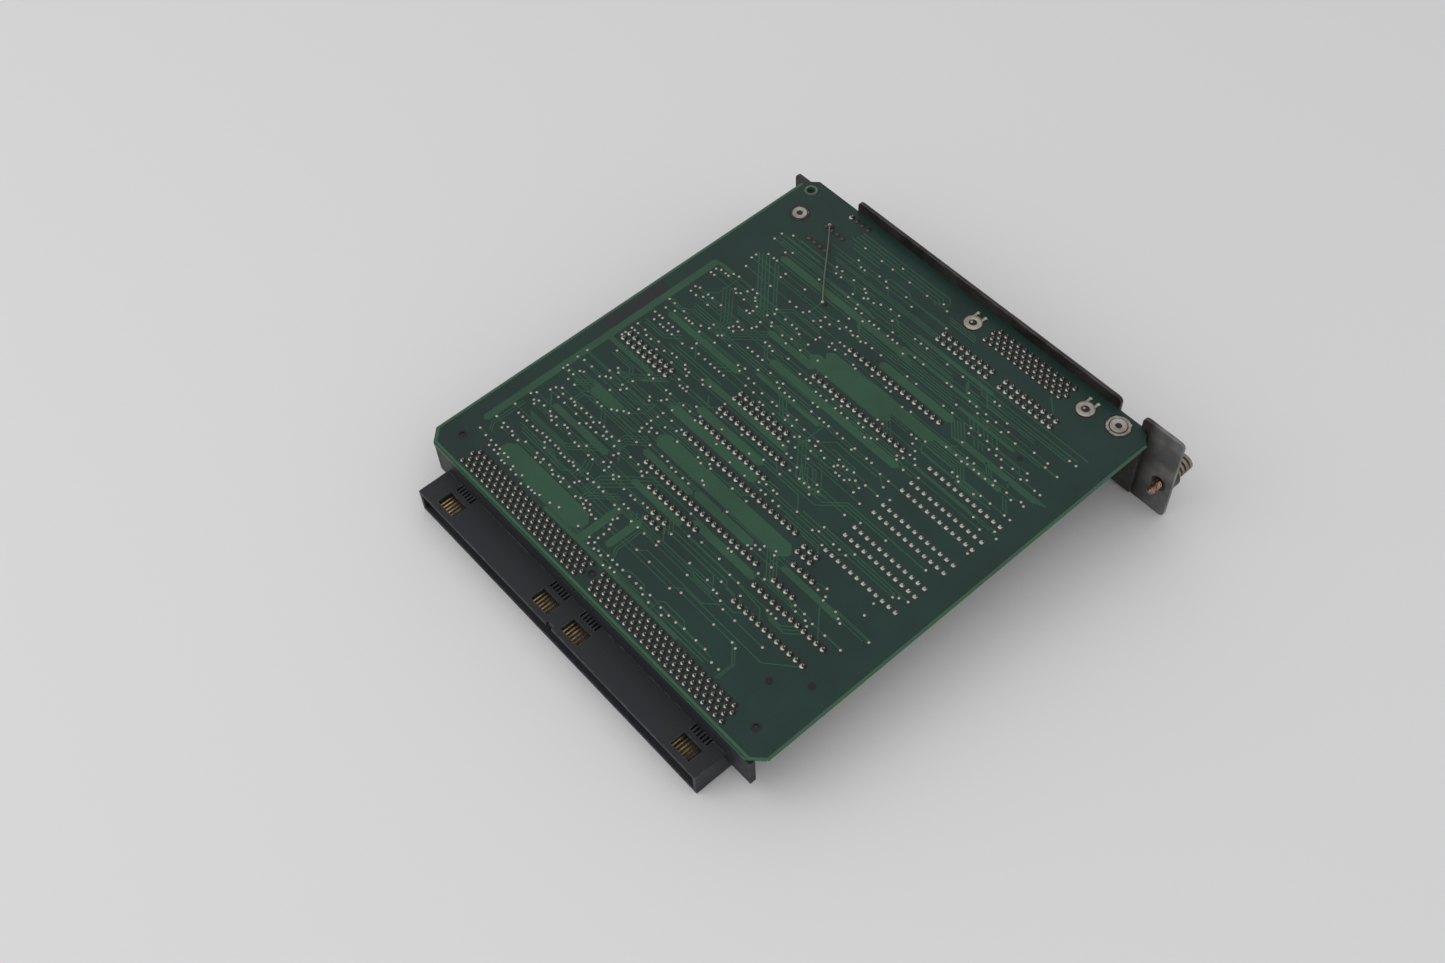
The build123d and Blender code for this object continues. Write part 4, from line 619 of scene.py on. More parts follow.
# near the lamps the joints stayed under brown flux, but for the first of the lamps' leads
off_x, off_y = (raised[:, :2] - first_pin).T
fluxed = (off_x < FLUXED_FROM[0]) & (off_y > FLUXED_FROM[1])
fluxed[-len(LAMP_LEADS)] = False
bright = raised[~fluxed]
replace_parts(surface("lead_joints",
                    joined([copies(dome(PAD_R, PAD_RISE), bright),
                            clipped_leads(bright + SHADE_SIDE_DRIFT, LEAD_R, joint_top)]),
                    fine_solder, 50), "solder_joints")
# the beads: flux, and painted shade on each joint's side away from the lamps
shaded_beads = [copies(dome(BEAD_R, BEAD_RISE, BEAD_SIDES), bright + SHADE_SIDE_DRIFT)]
surface("browned_joints", copies(dome(0.8 * PAD_R, 0.8 * PAD_RISE), raised[fluxed]),
        finish("browned_solder", (0.055, 0.042, 0.034), (0.022, 0.018, 0.015), 0.6, 500.0, 4000.0,
               (0.3, 0.5), 0.3, 0.3), 50)

# output drivers: flat square pads, each with a low dome of solder round a flush lead
FLUSH_HALF, FLUSH_RISE, FLUSH_GAP, FLUSH_BEAD_R = 0.64 * MM, 0.26 * MM, 0.84 * MM, 0.30 * MM
flush = tips("flush_joints")


def square_turned(profile, power=5.0, sides=16):
    """A turned form with rounded square rings: the radius at an angle grows by the factor
    (|cos|**p + |sin|**p) ** (-1/p)."""
    points, faces = turned(profile, sides)
    angle = np.arctan2(points[:, 1], points[:, 0])
    stretch = (np.abs(np.cos(angle)) ** power + np.abs(np.sin(angle)) ** power) ** (-1 / power)
    return points * np.c_[stretch, stretch, np.ones(len(points))], faces


flush_pad = square_turned([(FLUSH_HALF, -COPPER_SINK), (FLUSH_HALF, 0.35 * FLUSH_RISE),
                           (0.8 * FLUSH_HALF, 0.8 * FLUSH_RISE), (0.35 * FLUSH_HALF, FLUSH_RISE)])
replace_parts(surface("flush_pads", copies(flush_pad, flush), fine_solder, 60),
            "flush_joints")

# connector tails: the same joint, smaller and closer together, with a taller clipped end
TAIL_PAD_R, TAIL_BEAD_R = 0.64 * MM, 0.60 * MM
tail_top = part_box("backplane_tails")[1][2] - solder_z
tails = np.concatenate([tips("backplane_tails"), tips("front_tails")])
tail_leads = tails + 0.8 * SHADE_SIDE_DRIFT
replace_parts(surface("tail_joints",
                    joined([copies(dome(TAIL_PAD_R, PAD_RISE), tails),
                            clipped_leads(tail_leads, TAIL_LEAD_R, 0.75 * tail_top)]),
                    fine_solder, 50), "backplane_tails", "front_tails")
shaded_beads.append(copies(dome(TAIL_BEAD_R, BEAD_RISE, BEAD_SIDES), tail_leads))
shaded_beads.append(copies(dome(FLUSH_BEAD_R, 1.25 * FLUSH_RISE, BEAD_SIDES), flush + 0.9 * SHADE_SIDE_DRIFT))
surface("flux_and_shade_beads", joined(shaded_beads), flux_and_shade, 50)

# dark film on the mask beside each tall joint, partly flux and partly its painted shadow, and a
# gap in it round each flush pad
FLUX_SHADOW_R = 1.14 * MM
film = turned([(FLUX_SHADOW_R, -COPPER_SINK), (FLUX_SHADOW_R, COPPER_T * 1.1), (0.9 * FLUX_SHADOW_R, COPPER_T * 1.5)],
              FILM_SIDES)
surface("flux_shadow_marks", copies(film, np.concatenate([raised, tails]) + FLUX_SHADOW_DRIFT), flux_and_shade,
        30)
surface("pad_openings",
        copies(square_turned([(FLUSH_GAP, -COPPER_SINK), (FLUSH_GAP, COPPER_T * 1.2)]), flush),
        mask_gap, 30)


# Tubular rivets and board locks: tinned brass, rolled over on the solder side and clinched there.
# The bath left a ragged ring of dull solder round each rivet. A dark halo round both is painted
# shadow.
BRASS_TIN = (0.40, 0.38, 0.34)
tinned = finish("tinned_brass", BRASS_TIN, (0.17, 0.15, 0.125), 0.7, 260.0, 4000.0, (0.34, 0.55),
                0.7, 0.3)
rivet_low, rivet_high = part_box("board_rivets")
roll = rivet_high[2] - solder_z
under = rivet_low[2] - solder_z
LEFT_FLANGE, RIGHT_FLANGE = 2.9 * MM, 3.75 * MM
RIVET_BORE, RIVET_NECK, RIVET_FOOT, FOOT_RIM = 1.0 * MM, 1.5 * MM, 2.0 * MM, 2.1 * MM
RING_GAP, RING_LOW, RING_TOP, RING_EDGE = 0.30 * MM, 0.12 * MM, 0.26 * MM, 0.10 * MM
RIVET_HALO, LOCK_HALO, HALO_T = 0.6 * MM, 0.45 * MM, 1.4 * COPPER_T
ROLL_SIDES, RAGGED_SIDES = 48, 96
# the ring's edge: each wave's share of the radius, count in a turn and start, and its lump's
# share, angle and width
WAVES = ((0.018, 5, 1), (0.014, 11, 0), (0.012, 23, 2))
LUMP, LUMP_AT, LUMP_W = 0.12, 0.9, 0.09
# each rivet's centre, the reach of its solder and its rolled boss's share of that
rivets = [(rivet_low[0] + LEFT_FLANGE, rivet_low[1] + LEFT_FLANGE, LEFT_FLANGE, 0.86),
          (rivet_high[0] - RIGHT_FLANGE, rivet_high[1] - RIGHT_FLANGE, RIGHT_FLANGE, 0.70)]


def at(x, y, form):
    """A form moved to a place on the solder side."""
    return form[0] + np.array((x, y, solder_z)), form[1]


def washer(inner, outer, rise, sides):
    """A flat ring that stands a little into the board."""
    return turned([(inner, -COPPER_SINK), (outer, -COPPER_SINK), (outer, rise), (inner, rise)],
                  sides, closed=True)


ring_forms, halo_shadow_forms, fillets = [], [], []
for x, y, reach, boss_share in rivets:
    boss = boss_share * reach
    profile = [(RIVET_BORE, 0.2 * roll), (RIVET_BORE * 0.9, under), (RIVET_FOOT, under),
               (FOOT_RIM, under + roll), (RIVET_NECK, under + roll), (RIVET_NECK, -COPPER_SINK),
               (boss, -COPPER_SINK), (boss, 0.6 * roll), (0.94 * boss, roll),
               (0.80 * boss, 0.86 * roll), (0.62 * boss, 0.80 * roll),
               (1.35 * RIVET_BORE, 0.80 * roll), (1.1 * RIVET_BORE, 0.62 * roll)]
    ring_forms.append(at(x, y, turned(profile, ROLL_SIDES, closed=True)))
    # the ragged ring: its outer radius waves with the angle, and one lump runs out of it
    inner = boss + RING_GAP
    points, faces = turned([(inner, -COPPER_SINK), (reach, -COPPER_SINK), (reach, RING_EDGE),
                            ((inner + reach) / 2, RING_TOP), (inner, RING_LOW)],
                           RAGGED_SIDES, closed=True)
    angle = np.arctan2(points[:, 1], points[:, 0])
    wave = 1 + sum(part * np.sin(count * angle + turn) for part, count, turn in WAVES)
    wave += LUMP * np.exp(-((angle - LUMP_AT) / LUMP_W) ** 2)
    outside = np.hypot(points[:, 0], points[:, 1]) > inner + HAIRBREADTH
    points[:, :2] *= np.where(outside, wave, 1.0)[:, None]
    fillets.append(at(x, y, (points, faces)))
    halo_shadow_forms.append(at(x, y, disc(reach + RIVET_HALO, HALO_T)))
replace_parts(surface("rolled_rivets", joined(ring_forms), tinned, 30),
            "board_rivets")
surface("rivet_solder", joined(fillets),
        finish("dull_solder", (0.34, 0.32, 0.29), (0.13, 0.12, 0.10), 0.9, 700.0, 5000.0,
               (0.4, 0.6), 0.6, 0.4), 50)

# each board lock: a rolled cup with a core in it, and two clinched tips with round ends
lock_low, lock_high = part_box("board_locks")
LOCK_R, TIP_OUT, TIP_L, TIP_W, TIP_R = 2.95 * MM, 1.55 * MM, 1.3 * MM, 0.75 * MM, 0.62 * MM
CUP_SIDES, CORE_SIDES = 40, 16
(CORE_X, CORE_Y), TIP_END = np.array([(-0.45, -0.15), (0, 1.5)]) * MM
lock_rise = lock_high[2] - lock_low[2]
lock_y = lock_low[1] + LOCK_R
cup = turned([(0.42 * LOCK_R, -COPPER_SINK), (LOCK_R, -COPPER_SINK), (LOCK_R, 0.4 * lock_rise),
              (0.9 * LOCK_R, 0.8 * lock_rise), (0.66 * LOCK_R, lock_rise),
              (0.5 * LOCK_R, 0.75 * lock_rise), (0.42 * LOCK_R, 0.2 * lock_rise)], CUP_SIDES,
             closed=True)
core = turned([(0.16 * LOCK_R, -COPPER_SINK), (0.15 * LOCK_R, 0.55 * lock_rise),
               (0.08 * LOCK_R, 0.65 * lock_rise)], CORE_SIDES)
tip = turned([(TIP_R, -COPPER_SINK), (TIP_R, 0.5 * lock_rise), (0.3 * MM, lock_rise)],
             CORE_SIDES)
lock_forms = []
for x in (lock_low[0] + LOCK_R, lock_high[0] - LOCK_R):
    tip_from = np.array([(x + side * TIP_OUT, lock_y + 0.86 * LOCK_R) for side in (-1, 1)])
    lock_forms += [at(x, lock_y, cup), at(x + CORE_X, lock_y + CORE_Y, core),
                   bars(tip_from, tip_from + np.array((0, TIP_L)), TIP_W, 0.7 * lock_rise),
                   copies(tip, np.c_[tip_from + TIP_END, np.full(2, solder_z)])]
    halo_shadow_forms.append(at(x, lock_y, disc(LOCK_R + LOCK_HALO, HALO_T)))
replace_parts(surface("board_lock_rings", joined(lock_forms), tinned, 30),
            "board_locks")
# dark halos round rivets and locks: painted shadow
surface("halo_shadows", joined(halo_shadow_forms), flux_and_shade, 30)

# the spare hole: the mask was left off round it, and the rim shows the brown laminate
SPARE_HOLE, SPARE_R, SPARE_SIDES = np.array((-70.4, 73.05)) * MM, 1.4 * MM, 40
for label, inner, outer, tall, tone in (("ring", 0.25, 0.75, 1.0, (0.10, 0.16, 0.10)),
                                        ("rim", 0.0, 0.3, 1.6, (0.05, 0.035, 0.02))):
    surface("spare_hole_" + label,
            at(*SPARE_HOLE, washer(SPARE_R + inner * MM, SPARE_R + outer * MM, tall * COPPER_T,
                                   SPARE_SIDES)),
            finish("spare_hole_" + label, tone, MASK_STAIN, 0.5, 200.0, 3000.0, (0.4, 0.6)),
            30)

# pegs of the rear connector, from the board's rear left corner: a dark ring round each is painted
# shade in its gap
PEGS = np.array([(7.5, 8.2), (139.6, 8.2), (72.5, 6.1)]) * MM
PEG_IN, PEG_OUT, PEG_SIDES = 0.95 * MM, 1.55 * MM, 28
surface("peg_gap_shade", joined([at(*place, washer(PEG_IN, PEG_OUT, HALO_T, PEG_SIDES))
                            for place in PEGS + np.array(board_low[:2])]), flux_and_shade, 30)

# three small holes that hold no lead, filled with solder and flux: place and radius
OPEN_HOLES = [(78.5, -37.5, 1.15), (87.5, -30.0, 1.1), (73.6, 66.4, 0.9)]
HOLE_EDGE, HOLE_TOP, HOLE_DIP, HOLE_SIDES = 0.12 * MM, 0.16 * MM, 0.02 * MM, 18
plugs = [copies(turned([(r * MM, -COPPER_SINK), (r * MM, HOLE_EDGE), (0.62 * r * MM, HOLE_TOP),
                        (0.5 * r * MM, HOLE_DIP)], HOLE_SIDES), on_board([(x, y)]))
         for x, y, r in OPEN_HOLES]
surface("spare_joints", joined(plugs), flux_and_shade, 30)


# Repair wire: one thin insulated wire, soldered at both ends and laid almost straight over the
# board. Each joint is a blob of solder in a patch of flux.
WIRE_R, WIRE_RISE, WIRE_SWAY = 0.27 * MM, 1.15 * MM, 0.12
WIRE_START, WIRE_END, SWAY_TO = (-32.5, 90.1), (-9.9, 65.6), (0.74, 0.67)
WIRE_POINTS = 60
BLOB_R, BLOB_RISE, PATCH_R, PATCH_RISE = 0.66 * MM, 0.75 * MM, 0.9 * MM, 0.5 * MM
PATCH_DRIFT = np.array((0.8, 0.2, 0)) * MM


def tube(path, radius, sides=12):
    """A round tube on a path: ring point = path point + r * (cos * up + sin * side), where side
    is level and square to the path, and up is square to both."""
    along = np.gradient(path, axis=0)
    along /= np.linalg.norm(along, axis=1, keepdims=True)
    side = np.cross(along, (0, 0, 1.0))
    side /= np.linalg.norm(side, axis=1, keepdims=True)
    up = np.cross(side, along)
    angle = np.arange(sides) * 2 * math.pi / sides
    points = path[:, None] + radius * (np.cos(angle)[None, :, None] * up[:, None]
                                       + np.sin(angle)[None, :, None] * side[:, None])
    return points.reshape(-1, 3), skin(len(path), sides)


way = np.linspace(0, 1, WIRE_POINTS)
ground = np.outer(1 - way, WIRE_START) + np.outer(way, WIRE_END)
ground += np.outer(WIRE_SWAY * np.sin(way * 2 * math.pi), SWAY_TO)
route = on_board(ground)
route[:, 2] += WIRE_RISE * (1 - np.abs(2 * way - 1) ** 10) ** 0.5 + WIRE_R
jacket = finish("wire_jacket", (0.075, 0.090, 0.062), (0.04, 0.035, 0.025), 0.5, 300.0, 3000.0,
                (0.3, 0.45))
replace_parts(surface("insulated_wire", tube(route, WIRE_R), jacket, 60),
            "repair_wire")
wire_ends = on_board([WIRE_START, WIRE_END])
surface("wire_joints", copies(dome(BLOB_R, BLOB_RISE), wire_ends), fine_solder, 50)
surface("wire_flux", copies(dome(PATCH_R, PATCH_RISE), wire_ends + PATCH_DRIFT), flux_and_shade,
        50)


# Backplane connector: one glass-filled moulding with a shroud round its tongue, windows in the
# shroud, combs that part the contacts and ears that end it. Its edges are rounded and rubbed grey.
BLACK = (0.0178, 0.0192, 0.0230)
BLACK_STAIN = (0.021, 0.021, 0.023)
RUB_GREY = (0.075, 0.075, 0.082)
MERGE, NORMAL_WEIGHT = 0.002 * MM, 90


def softened(name, node, width, material, segments=2, angle=35, smooth=False):
    """A CAD node's own form with its edges rounded: its corners are merged, its flat faces made
    whole, and every edge sharper than the angle gets a round of this width. Turned forms are
    smooth, with normals that follow their larger faces."""
    mesh = frame["nodes"][node].data.copy()
    work = bmesh.new()
    work.from_mesh(mesh)
    bmesh.ops.remove_doubles(work, verts=work.verts, dist=MERGE)
    bmesh.ops.dissolve_limit(work, angle_limit=math.radians(0.5), verts=work.verts,
                             edges=work.edges)
    bmesh.ops.recalc_face_normals(work, faces=work.faces)
    work.to_mesh(mesh)
    work.free()
    mesh.name = name
    mesh.materials.clear()
    mesh.materials.append(material)
    mesh.polygons.foreach_set("use_smooth", np.full(len(mesh.polygons), smooth))
    obj = add_object(name, mesh)
    rounding = obj.modifiers.new("rounding", "BEVEL")
    rounding.width, rounding.segments = width, segments
    rounding.limit_method, rounding.angle_limit = "ANGLE", math.radians(angle)
    if smooth:
        obj.modifiers.new("normals", "WEIGHTED_NORMAL").weight = NORMAL_WEIGHT
    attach(obj, root)
    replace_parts(obj, node)


moulding = finish("black_moulding", BLACK, BLACK_STAIN, 0.8, 90.0, 4500.0, (0.42, 0.60), 0.0, 0.35,
                  wear=RUB_GREY, wear_width=0.0006, gloss=0.22)
softened("rear_housing", "backplane_housing", 0.18 * MM, moulding)
gold = finish("gold_contact", (0.46, 0.31, 0.13), (0.07, 0.05, 0.03), 0.9, 420.0, 5000.0,
              (0.22, 0.4), 0.9, 0.1)
dress(gold, "backplane_contacts")


# Front panel: one steel sheet in dark paint, pierced for the connector, lamps and screws, with a
# zinc-plated bracket at each end. Its rim and its handled ear are rubbed to bare metal.
EAR_FROM, EAR_FULL, SMOKE_AND_SHEEN_SIZE = 71 * MM, 76 * MM, 110.0
SMOKE_AND_SHEEN_GREY = (0.170, 0.169, 0.166)
panel_paint = finish("panel_paint", (0.0135, 0.0115, 0.0105), (0.045, 0.038, 0.034), 0.9, 75.0,
                     3500.0, (0.34, 0.6), 0.15, 0.25, wear=(0.10, 0.10, 0.095),
                     wear_width=0.0006, gloss=0.35)
# smoke and sheen: a grey bloom on the handled end, partly stains where the paint was heated and
# rubbed, partly a painted reflection of the shiny plate
nodes, links = panel_paint.node_tree.nodes, panel_paint.node_tree.links
base = nodes["Principled BSDF"].inputs["Base Color"]
handled = map_range(nodes, links, coordinate(nodes, links, "Object", "X"), EAR_FROM, EAR_FULL)
smoke_and_sheen = map_range(nodes, links, noise(nodes, links, SMOKE_AND_SHEEN_SIZE, 3), 0.40, 0.60, 0.45, 1.0)
links.new(mix_colour(nodes, links, reckon(nodes, links, "MULTIPLY", handled, smoke_and_sheen),
                     base.links[0].from_socket, SMOKE_AND_SHEEN_GREY), base)
softened("painted_panel", "front_panel", 0.16 * MM, panel_paint, angle=50)
nickel = finish("nickel", (0.29, 0.25, 0.195), (0.11, 0.09, 0.07), 0.7, 320.0, 5000.0,
                (0.24, 0.42), 0.95, 0.15, wear=(0.70, 0.62, 0.50), wear_width=0.0002)
dark_nickel = finish("dark_nickel", (0.085, 0.072, 0.064), (0.035, 0.028, 0.025), 0.6, 260.0,
                     5000.0, (0.3, 0.5), 0.9, 0.2, wear=(0.28, 0.25, 0.22), wear_width=0.0003)
softened("turned_ferrule", "captive_ferrule", 0.2 * MM, dark_nickel, angle=30,
         smooth=True)
# the brackets' zinc is coloured dark: painted shade, as they lie in the board's shadow
bracket_zinc_shaded = finish("zinc_sheet_painted_shade", (0.060, 0.058, 0.055), (0.025, 0.024, 0.023), 0.6, 140.0,
                      4000.0, (0.4, 0.55), 0.5, 0.15, wear=(0.30, 0.30, 0.29))
for side in ("left", "right"):
    softened(side + "_angle", side + "_bracket", 0.12 * MM, bracket_zinc_shaded,
             angle=50)


# Captive screw: a nickelled thumb screw with turned rings on its head and a neck in the ferrule.
# The thread at its end is a rolled ridge, browned by wear.
HEAD_SHARE, HEAD_SHORT = 0.80, 1.7 * MM
THREAD_R, THREAD_PITCH, THREAD_DEEP, NECK_R = 1.5 * MM, 0.75 * MM, 0.52 * MM, 1.15 * MM
TAPER_L, TAPER_LEAST, THREAD_STEPS = 0.5 * MM, 0.35, 85
THREAD_SIDES, HEAD_SIDES, COLLAR_SHARE, END_SHARE = 24, 64, 0.72, 0.7
RINGS, GROOVE_DEEP = 4, 0.9 * MM
# each ring's outline: shares of its length, and of the groove's depth
RING_SHAPE = ((0.14, 1.0), (0.18, 0.45), (0.30, 0.0), (0.82, 0.0), (0.94, 0.45))
screw_low, screw_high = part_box("captive_screw")
ferrule_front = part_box("captive_ferrule")[1][1]
axis = np.array(((screw_low[0] + screw_high[0]) / 2, 0, (screw_low[2] + screw_high[2]) / 2))
head_r = (screw_high[0] - screw_low[0]) / 2 * HEAD_SHARE
board_front = board_high[1]


def lathe_y(stations, radii, sides):
    """A turned form along Y, on the screw's axis: ring point = axis + (r cos, station, -r sin)."""
    angle = np.arange(sides) * 2 * math.pi / sides
    radii = np.broadcast_to(np.asarray(radii).reshape(len(stations), -1), (len(stations), sides))
    along = np.repeat(np.asarray(stations)[:, None], sides, 1)
    points = np.stack([radii * np.cos(angle), along, -radii * np.sin(angle)], -1)
    return points.reshape(-1, 3) + axis, skin(len(stations), sides)


neck = lathe_y([board_front - 0.1 * MM, ferrule_front + 0.2 * MM], [NECK_R, NECK_R],
               THREAD_SIDES)
head_l = screw_high[1] - ferrule_front - HEAD_SHORT
stations, radii = [ferrule_front], [head_r * COLLAR_SHARE]
for ring in range(RINGS):
    for share, depth in RING_SHAPE:
        stations.append(ferrule_front + (ring + share) * head_l / RINGS)
        radii.append(head_r - depth * GROOVE_DEEP)
stations.append(ferrule_front + head_l)
radii.append(head_r - END_SHARE * GROOVE_DEEP)
head = lathe_y(stations, radii, HEAD_SIDES)
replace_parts(surface("thumb_screw", joined([neck, head]), nickel, 28), "captive_screw")
# the thread's radius falls by a ridge that turns with the angle, and its tip tapers
thread_y = np.linspace(screw_low[1], board_front, THREAD_STEPS)
turn = np.arange(THREAD_SIDES) / THREAD_SIDES
ridge = np.abs((thread_y[:, None] / THREAD_PITCH + turn) % 1 - 0.5) * 2
taper = np.clip((thread_y - screw_low[1]) / TAPER_L, TAPER_LEAST, 1)[:, None]
rusty = finish("browned_thread", (0.55, 0.38, 0.27), (0.10, 0.05, 0.03), 0.9, 700.0, 5000.0,
               (0.15, 0.35), 0.95, 0.4)
thread = lathe_y(thread_y, (THREAD_R - THREAD_DEEP * ridge) * taper, THREAD_SIDES)
surface("screw_thread", thread, rusty, 28)


# Panel screws: zinc-plated steel pan heads with a cross recess, one driven through the panel into
# each bracket. The recesses are flat dark crosses, painted shade where the hollows are.
steel = finish("zinc_steel", (0.50, 0.49, 0.46), (0.28, 0.26, 0.23), 0.5, 300.0, 5000.0,
               (0.28, 0.42), 0.95, 0.1, wear=(0.7, 0.7, 0.68), wear_width=0.0002)
softened("bracket_screws", "panel_screws", 0.35 * MM, steel, segments=3, angle=50,
         smooth=True)
RECESS_L, RECESS_W, RECESS_SINK, SCREW_HEAD_R = 2.0 * MM, 0.5 * MM, 0.05 * MM, 2.4 * MM
screws_low, screws_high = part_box("panel_screws")
recess, faces = joined([prism(rectangle(-a / 2, a / 2, -b / 2, b / 2), -RECESS_SINK, rise)
                        for a, b, rise in ((RECESS_L, RECESS_W, 0.004 * MM),
                                           (RECESS_W, RECESS_L, 0.006 * MM))])
recess = np.c_[recess[:, 0], recess[:, 2], -recess[:, 1]]
heads = [(x, screws_high[1], (screws_low[2] + screws_high[2]) / 2)
         for x in (screws_low[0] + SCREW_HEAD_R, screws_high[0] - SCREW_HEAD_R)]
surface("screw_recess_shade", copies((recess, faces), heads), flux_and_shade, 30)


# Front connector: a half-pitch receptacle of moulded body, drawn steel shell and jack posts. Its
# tails are soldered to the board and the posts hold its shell to the panel.
shell_steel = finish("drawn_shell", (0.55, 0.55, 0.53), (0.36, 0.35, 0.32), 0.5, 150.0, 4000.0,
                     (0.25, 0.4), 0.95, 0.1, wear=(0.75, 0.75, 0.73), wear_width=0.0002)
softened("receptacle_body", "front_connector_body", 0.2 * MM, moulding)
softened("receptacle_shell", "front_connector_shell", 0.08 * MM, shell_steel,
         angle=50)
softened("jack_sleeves", "jack_posts", 0.12 * MM, nickel, angle=40)


# Component side: moulded packages, sockets, cans and small parts whose pins show as joints. They
# are resin, black plastic and drawn metal, and each is soldered by its leads.
resin = finish("chip_resin", (0.022, 0.022, 0.024), (0.035, 0.034, 0.033), 0.6, 150.0, 7000.0,
               (0.45, 0.62), 0.0, 0.3)
packages = ["processor", "program_memory", "interface_ic_1", "interface_ic_2", "timer_ic",
            "setting_ic"] + [f"output_driver_{n}" for n in range(1, 5)]
chips = ["gate_array"] + [f"{kind}_chip_{n}" for kind, count in
                          (("bus", 4), ("latch", 4), ("line", 2)) for n in range(1, count + 1)]
for node in packages + chips:
    softened(node + "_body", node, 0.15 * MM, resin)

# the surface-mounted chips stand on gull-wing leads: out of the body, down, and flat on the board
LEAD_T, LEAD_W = 0.2 * MM, 0.42 * MM
BODY_PITCH, ARRAY_PITCH = 1.27 * MM, 0.8 * MM
LEAD_IN, LEAD_KNEE, LEAD_HEEL, LEAD_TOE = -0.3 * MM, 0.40 * MM, 0.70 * MM, 1.30 * MM
board_face = board_low[2]
lead_forms = []
for node in chips:
    chip_low, chip_high = (np.array(corner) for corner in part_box(node))
    centre, size = (chip_low + chip_high) / 2, chip_high - chip_low
    waist = centre[2]
    lead, faces = prism([(LEAD_IN, waist - LEAD_T / 2), (LEAD_KNEE, waist - LEAD_T / 2),
                         (LEAD_HEEL, board_face - LEAD_T), (LEAD_TOE, board_face - LEAD_T),
                         (LEAD_TOE, board_face + COPPER_SINK),
                         (LEAD_HEEL - 0.18 * MM, board_face + COPPER_SINK),
                         (LEAD_KNEE - 0.15 * MM, waist + LEAD_T / 2),
                         (LEAD_IN, waist + LEAD_T / 2)], -LEAD_W / 2, LEAD_W / 2)
    # the gate array has leads on all four sides, the others on their two long sides
    pitch, quarters = BODY_PITCH, (1, 3) if size[0] > size[1] else (0, 2)
    if node == "gate_array":
        pitch, quarters = ARRAY_PITCH, range(4)
    for quarter in quarters:
        out = np.array((math.cos(quarter * math.pi / 2), math.sin(quarter * math.pi / 2)))
        side = np.array((-out[1], out[0]))
        reach, row_l = size[:2] if quarter % 2 == 0 else size[1::-1]
        count = int((row_l - 2 * LEAD_W) / pitch) + 1
        along = (np.arange(count) - (count - 1) / 2) * pitch
        places = centre[:2] + out * reach / 2 + np.outer(along, side)
        flat = lead[:, :1] * out - lead[:, 2:] * side
        lead_forms.append(copies((np.c_[flat, lead[:, 1]], faces), np.c_[places, np.zeros(count)]))
surface("gull_wing_leads", joined(lead_forms), tinned, 30)
socket_black = finish("socket_moulding", (0.020, 0.020, 0.021), (0.035, 0.034, 0.032), 0.5, 120.0,
                      5000.0, (0.4, 0.55), 0.0, 0.2, wear=(0.10, 0.10, 0.10))
for node in ("processor_socket", "program_memory_socket", "socket_strips", "shunt_headers",
             "shunts"):
    softened(node + "_form", node, 0.15 * MM, socket_black)
softened("dipped_networks", "resistor_networks", 0.5 * MM,
         finish("network_coat", (0.10, 0.07, 0.03), (0.06, 0.04, 0.02), 0.5, 200.0, 3000.0,
                (0.2, 0.35)), segments=3)
softened("clock_case", "clock_can", 0.3 * MM, shell_steel, segments=3, smooth=True)
aluminium = finish("drawn_aluminium", (0.70, 0.70, 0.71), (0.50, 0.50, 0.51), 0.4, 150.0, 4000.0,
                   (0.25, 0.38), 0.95, 0.1)
# the cans stand on square bases of black plastic: the metal starts where the base ends
CAN_BASE_T, BASE_BLACK = 1.0 * MM, (0.02, 0.02, 0.021)
METAL_FROM, METAL_FULL = 0.03 * MM, 0.08 * MM
nodes, links = aluminium.node_tree.nodes, aluminium.node_tree.links
inputs = nodes["Principled BSDF"].inputs
base_end = board_face - CAN_BASE_T
metal = map_range(nodes, links, coordinate(nodes, links, "Object", "Z"), base_end - METAL_FROM,
                  base_end - METAL_FULL, 0.0, 0.95)
drawn = inputs["Base Color"].links[0].from_socket
feed(links, inputs, {"Metallic": metal,
                     "Base Color": mix_colour(nodes, links, metal, BASE_BLACK, drawn)})
softened("capacitor_bodies", "capacitor_cans", 0.4 * MM, aluminium, segments=3,
         smooth=True)
softened("lamp_block", "lamp_holder", 0.2 * MM, moulding)
dress(finish("lamp_resin", (0.45, 0.03, 0.02), (0.30, 0.02, 0.015), 0.4, 300.0, 2000.0,
             (0.15, 0.25)), "lamps")
dress(tinned, "package_leads")


# Table under the unit: pale and plain. The unit leans on the lower edge of its panel and on its
# connector, so the table's plane passes under both.
HALF_FLOOR = 3.0
FLOOR_GREY, FLOOR_ROUGH = (0.625, 0.62, 0.62), 0.8
panel_low, housing_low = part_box("front_panel")[0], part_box("backplane_housing")[0]
lean = (housing_low[2] - panel_low[2]) / (panel_low[1] - housing_low[1])
floor_mesh = bpy.data.meshes.new("table")
floor_mesh.from_pydata([(x, panel_low[1] + y, panel_low[2] - y * lean) for x, y in
                        rectangle(-HALF_FLOOR, HALF_FLOOR, -HALF_FLOOR, HALF_FLOOR)],
                       [], [(0, 1, 2, 3)])
table = add_object("table", floor_mesh)
table_paint = bpy.data.materials.new("table_paint")
table_paint.use_nodes = True
feed(table_paint.node_tree.links, table_paint.node_tree.nodes["Principled BSDF"].inputs,
     {"Base Color": FLOOR_GREY, "Roughness": FLOOR_ROUGH})
floor_mesh.materials.append(table_paint)


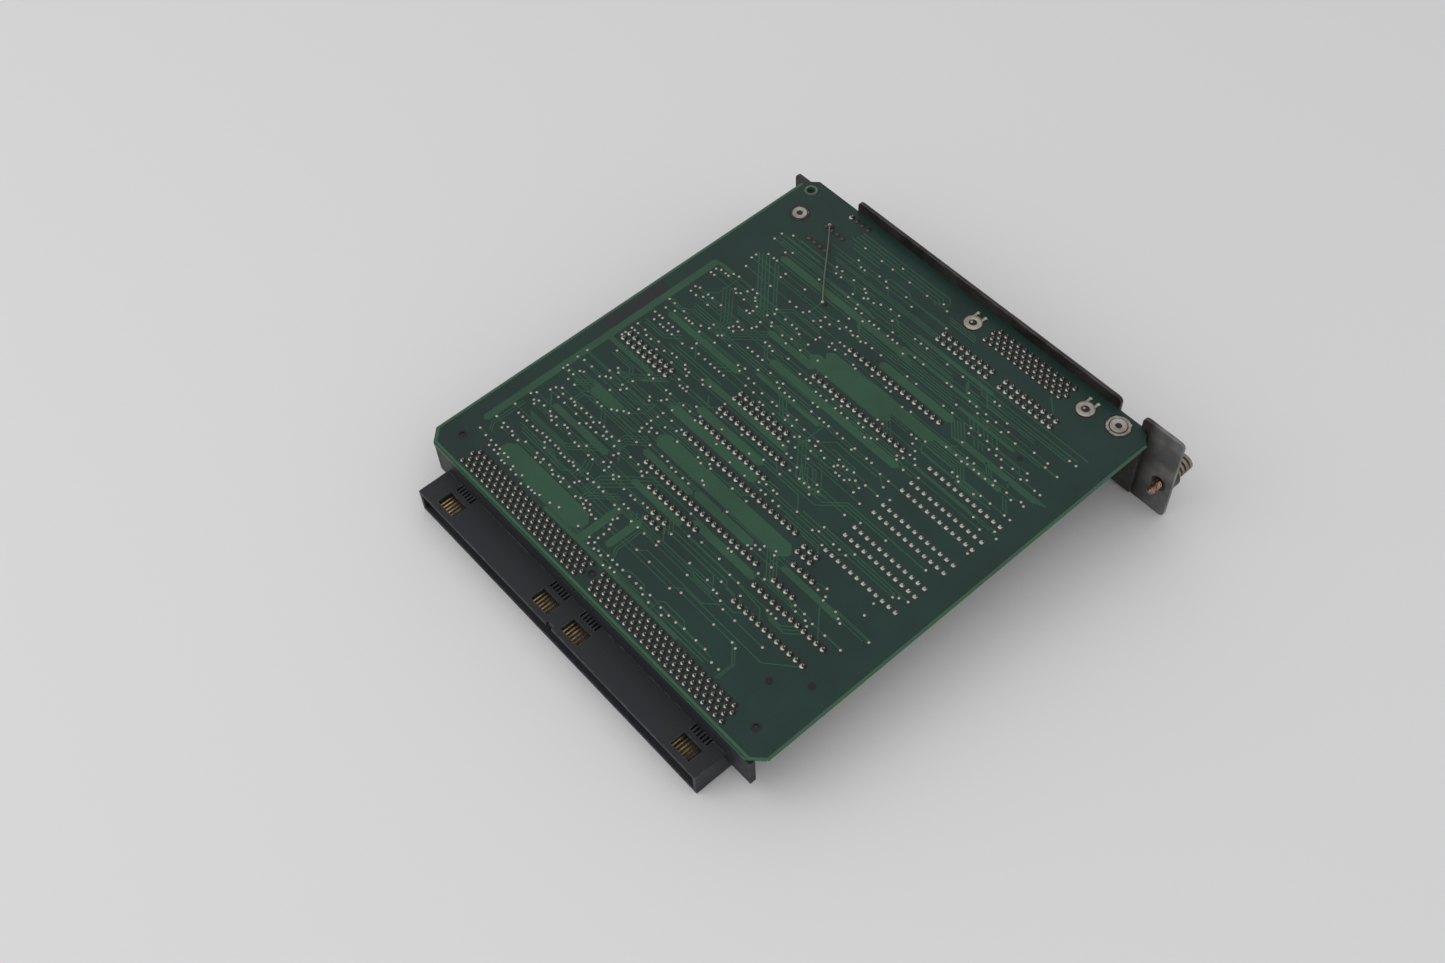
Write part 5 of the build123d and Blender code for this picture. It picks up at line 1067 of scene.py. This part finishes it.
# Light: a pale room and two soft lamps, as over a photographer's table. What the lens sees of the
# room has its own level.
ROOM_GREY, ROOM_LEVEL = (0.885, 0.885, 0.90), 0.86
SEEN_GREY = (0.665, 0.665, 0.672)
world = bpy.data.worlds.new("studio")
bpy.context.scene.world = world
world.use_nodes = True
nodes, links = world.node_tree.nodes, world.node_tree.links
room, seen = nodes["Background"], nodes.new("ShaderNodeBackground")
feed(links, room.inputs, {"Color": ROOM_GREY, "Strength": ROOM_LEVEL})
feed(links, seen.inputs, {"Color": SEEN_GREY})
rays = nodes.new("ShaderNodeLightPath").outputs
mix = nodes.new("ShaderNodeMixShader")
either = reckon(nodes, links, "MAXIMUM", rays["Is Camera Ray"], rays["Is Transmission Ray"])
for part, socket in zip((either, room.outputs[0], seen.outputs[0]), mix.inputs):
    links.new(part, socket)
links.new(mix.outputs[0], nodes["World Output"].inputs["Surface"])

# each lamp: place, size in metres and power in watts; it is turned to the unit
for name, place, size, power in (("key_lamp", (-0.45, -0.75, 1.0), 0.9, 4.0),
                                 ("top_lamp", (0.55, -0.25, 1.3), 1.2, 3.4)):
    light = bpy.data.lights.new(name, "AREA")
    light.size, light.energy = size, power
    aim = (-Vector(place)).to_track_quat("-Z", "Y").to_matrix().to_4x4()
    add_object(name, light).matrix_world = Matrix.Translation(place) @ aim


# Camera: stands where the photographer stood, high over the rear right corner of the unit, and
# looks down at the solder side. Its axes are the picture's own right, down and ahead.
CAMERA_PLACE = Vector((220.48, -203.29, 434.26)) * MM
CAMERA_RIGHT = Vector((0.6599, 0.7505, -0.0349))
CAMERA_DOWN = Vector((0.6011, -0.5552, -0.5749))
CAMERA_AHEAD = Vector((-0.4508, 0.3584, -0.8175))
LENS_MM, SENSOR_MM = 41.83, 36.0
camera = add_object("camera", bpy.data.cameras.new("camera"))
camera.data.lens, camera.data.sensor_width = LENS_MM, SENSOR_MM
camera_turn = Matrix((CAMERA_RIGHT, -CAMERA_DOWN, -CAMERA_AHEAD)).transposed()
camera.matrix_world = Matrix.Translation(CAMERA_PLACE) @ camera_turn.to_4x4()
bpy.context.scene.camera = camera
bpy.context.scene.view_settings.view_transform = "Standard"
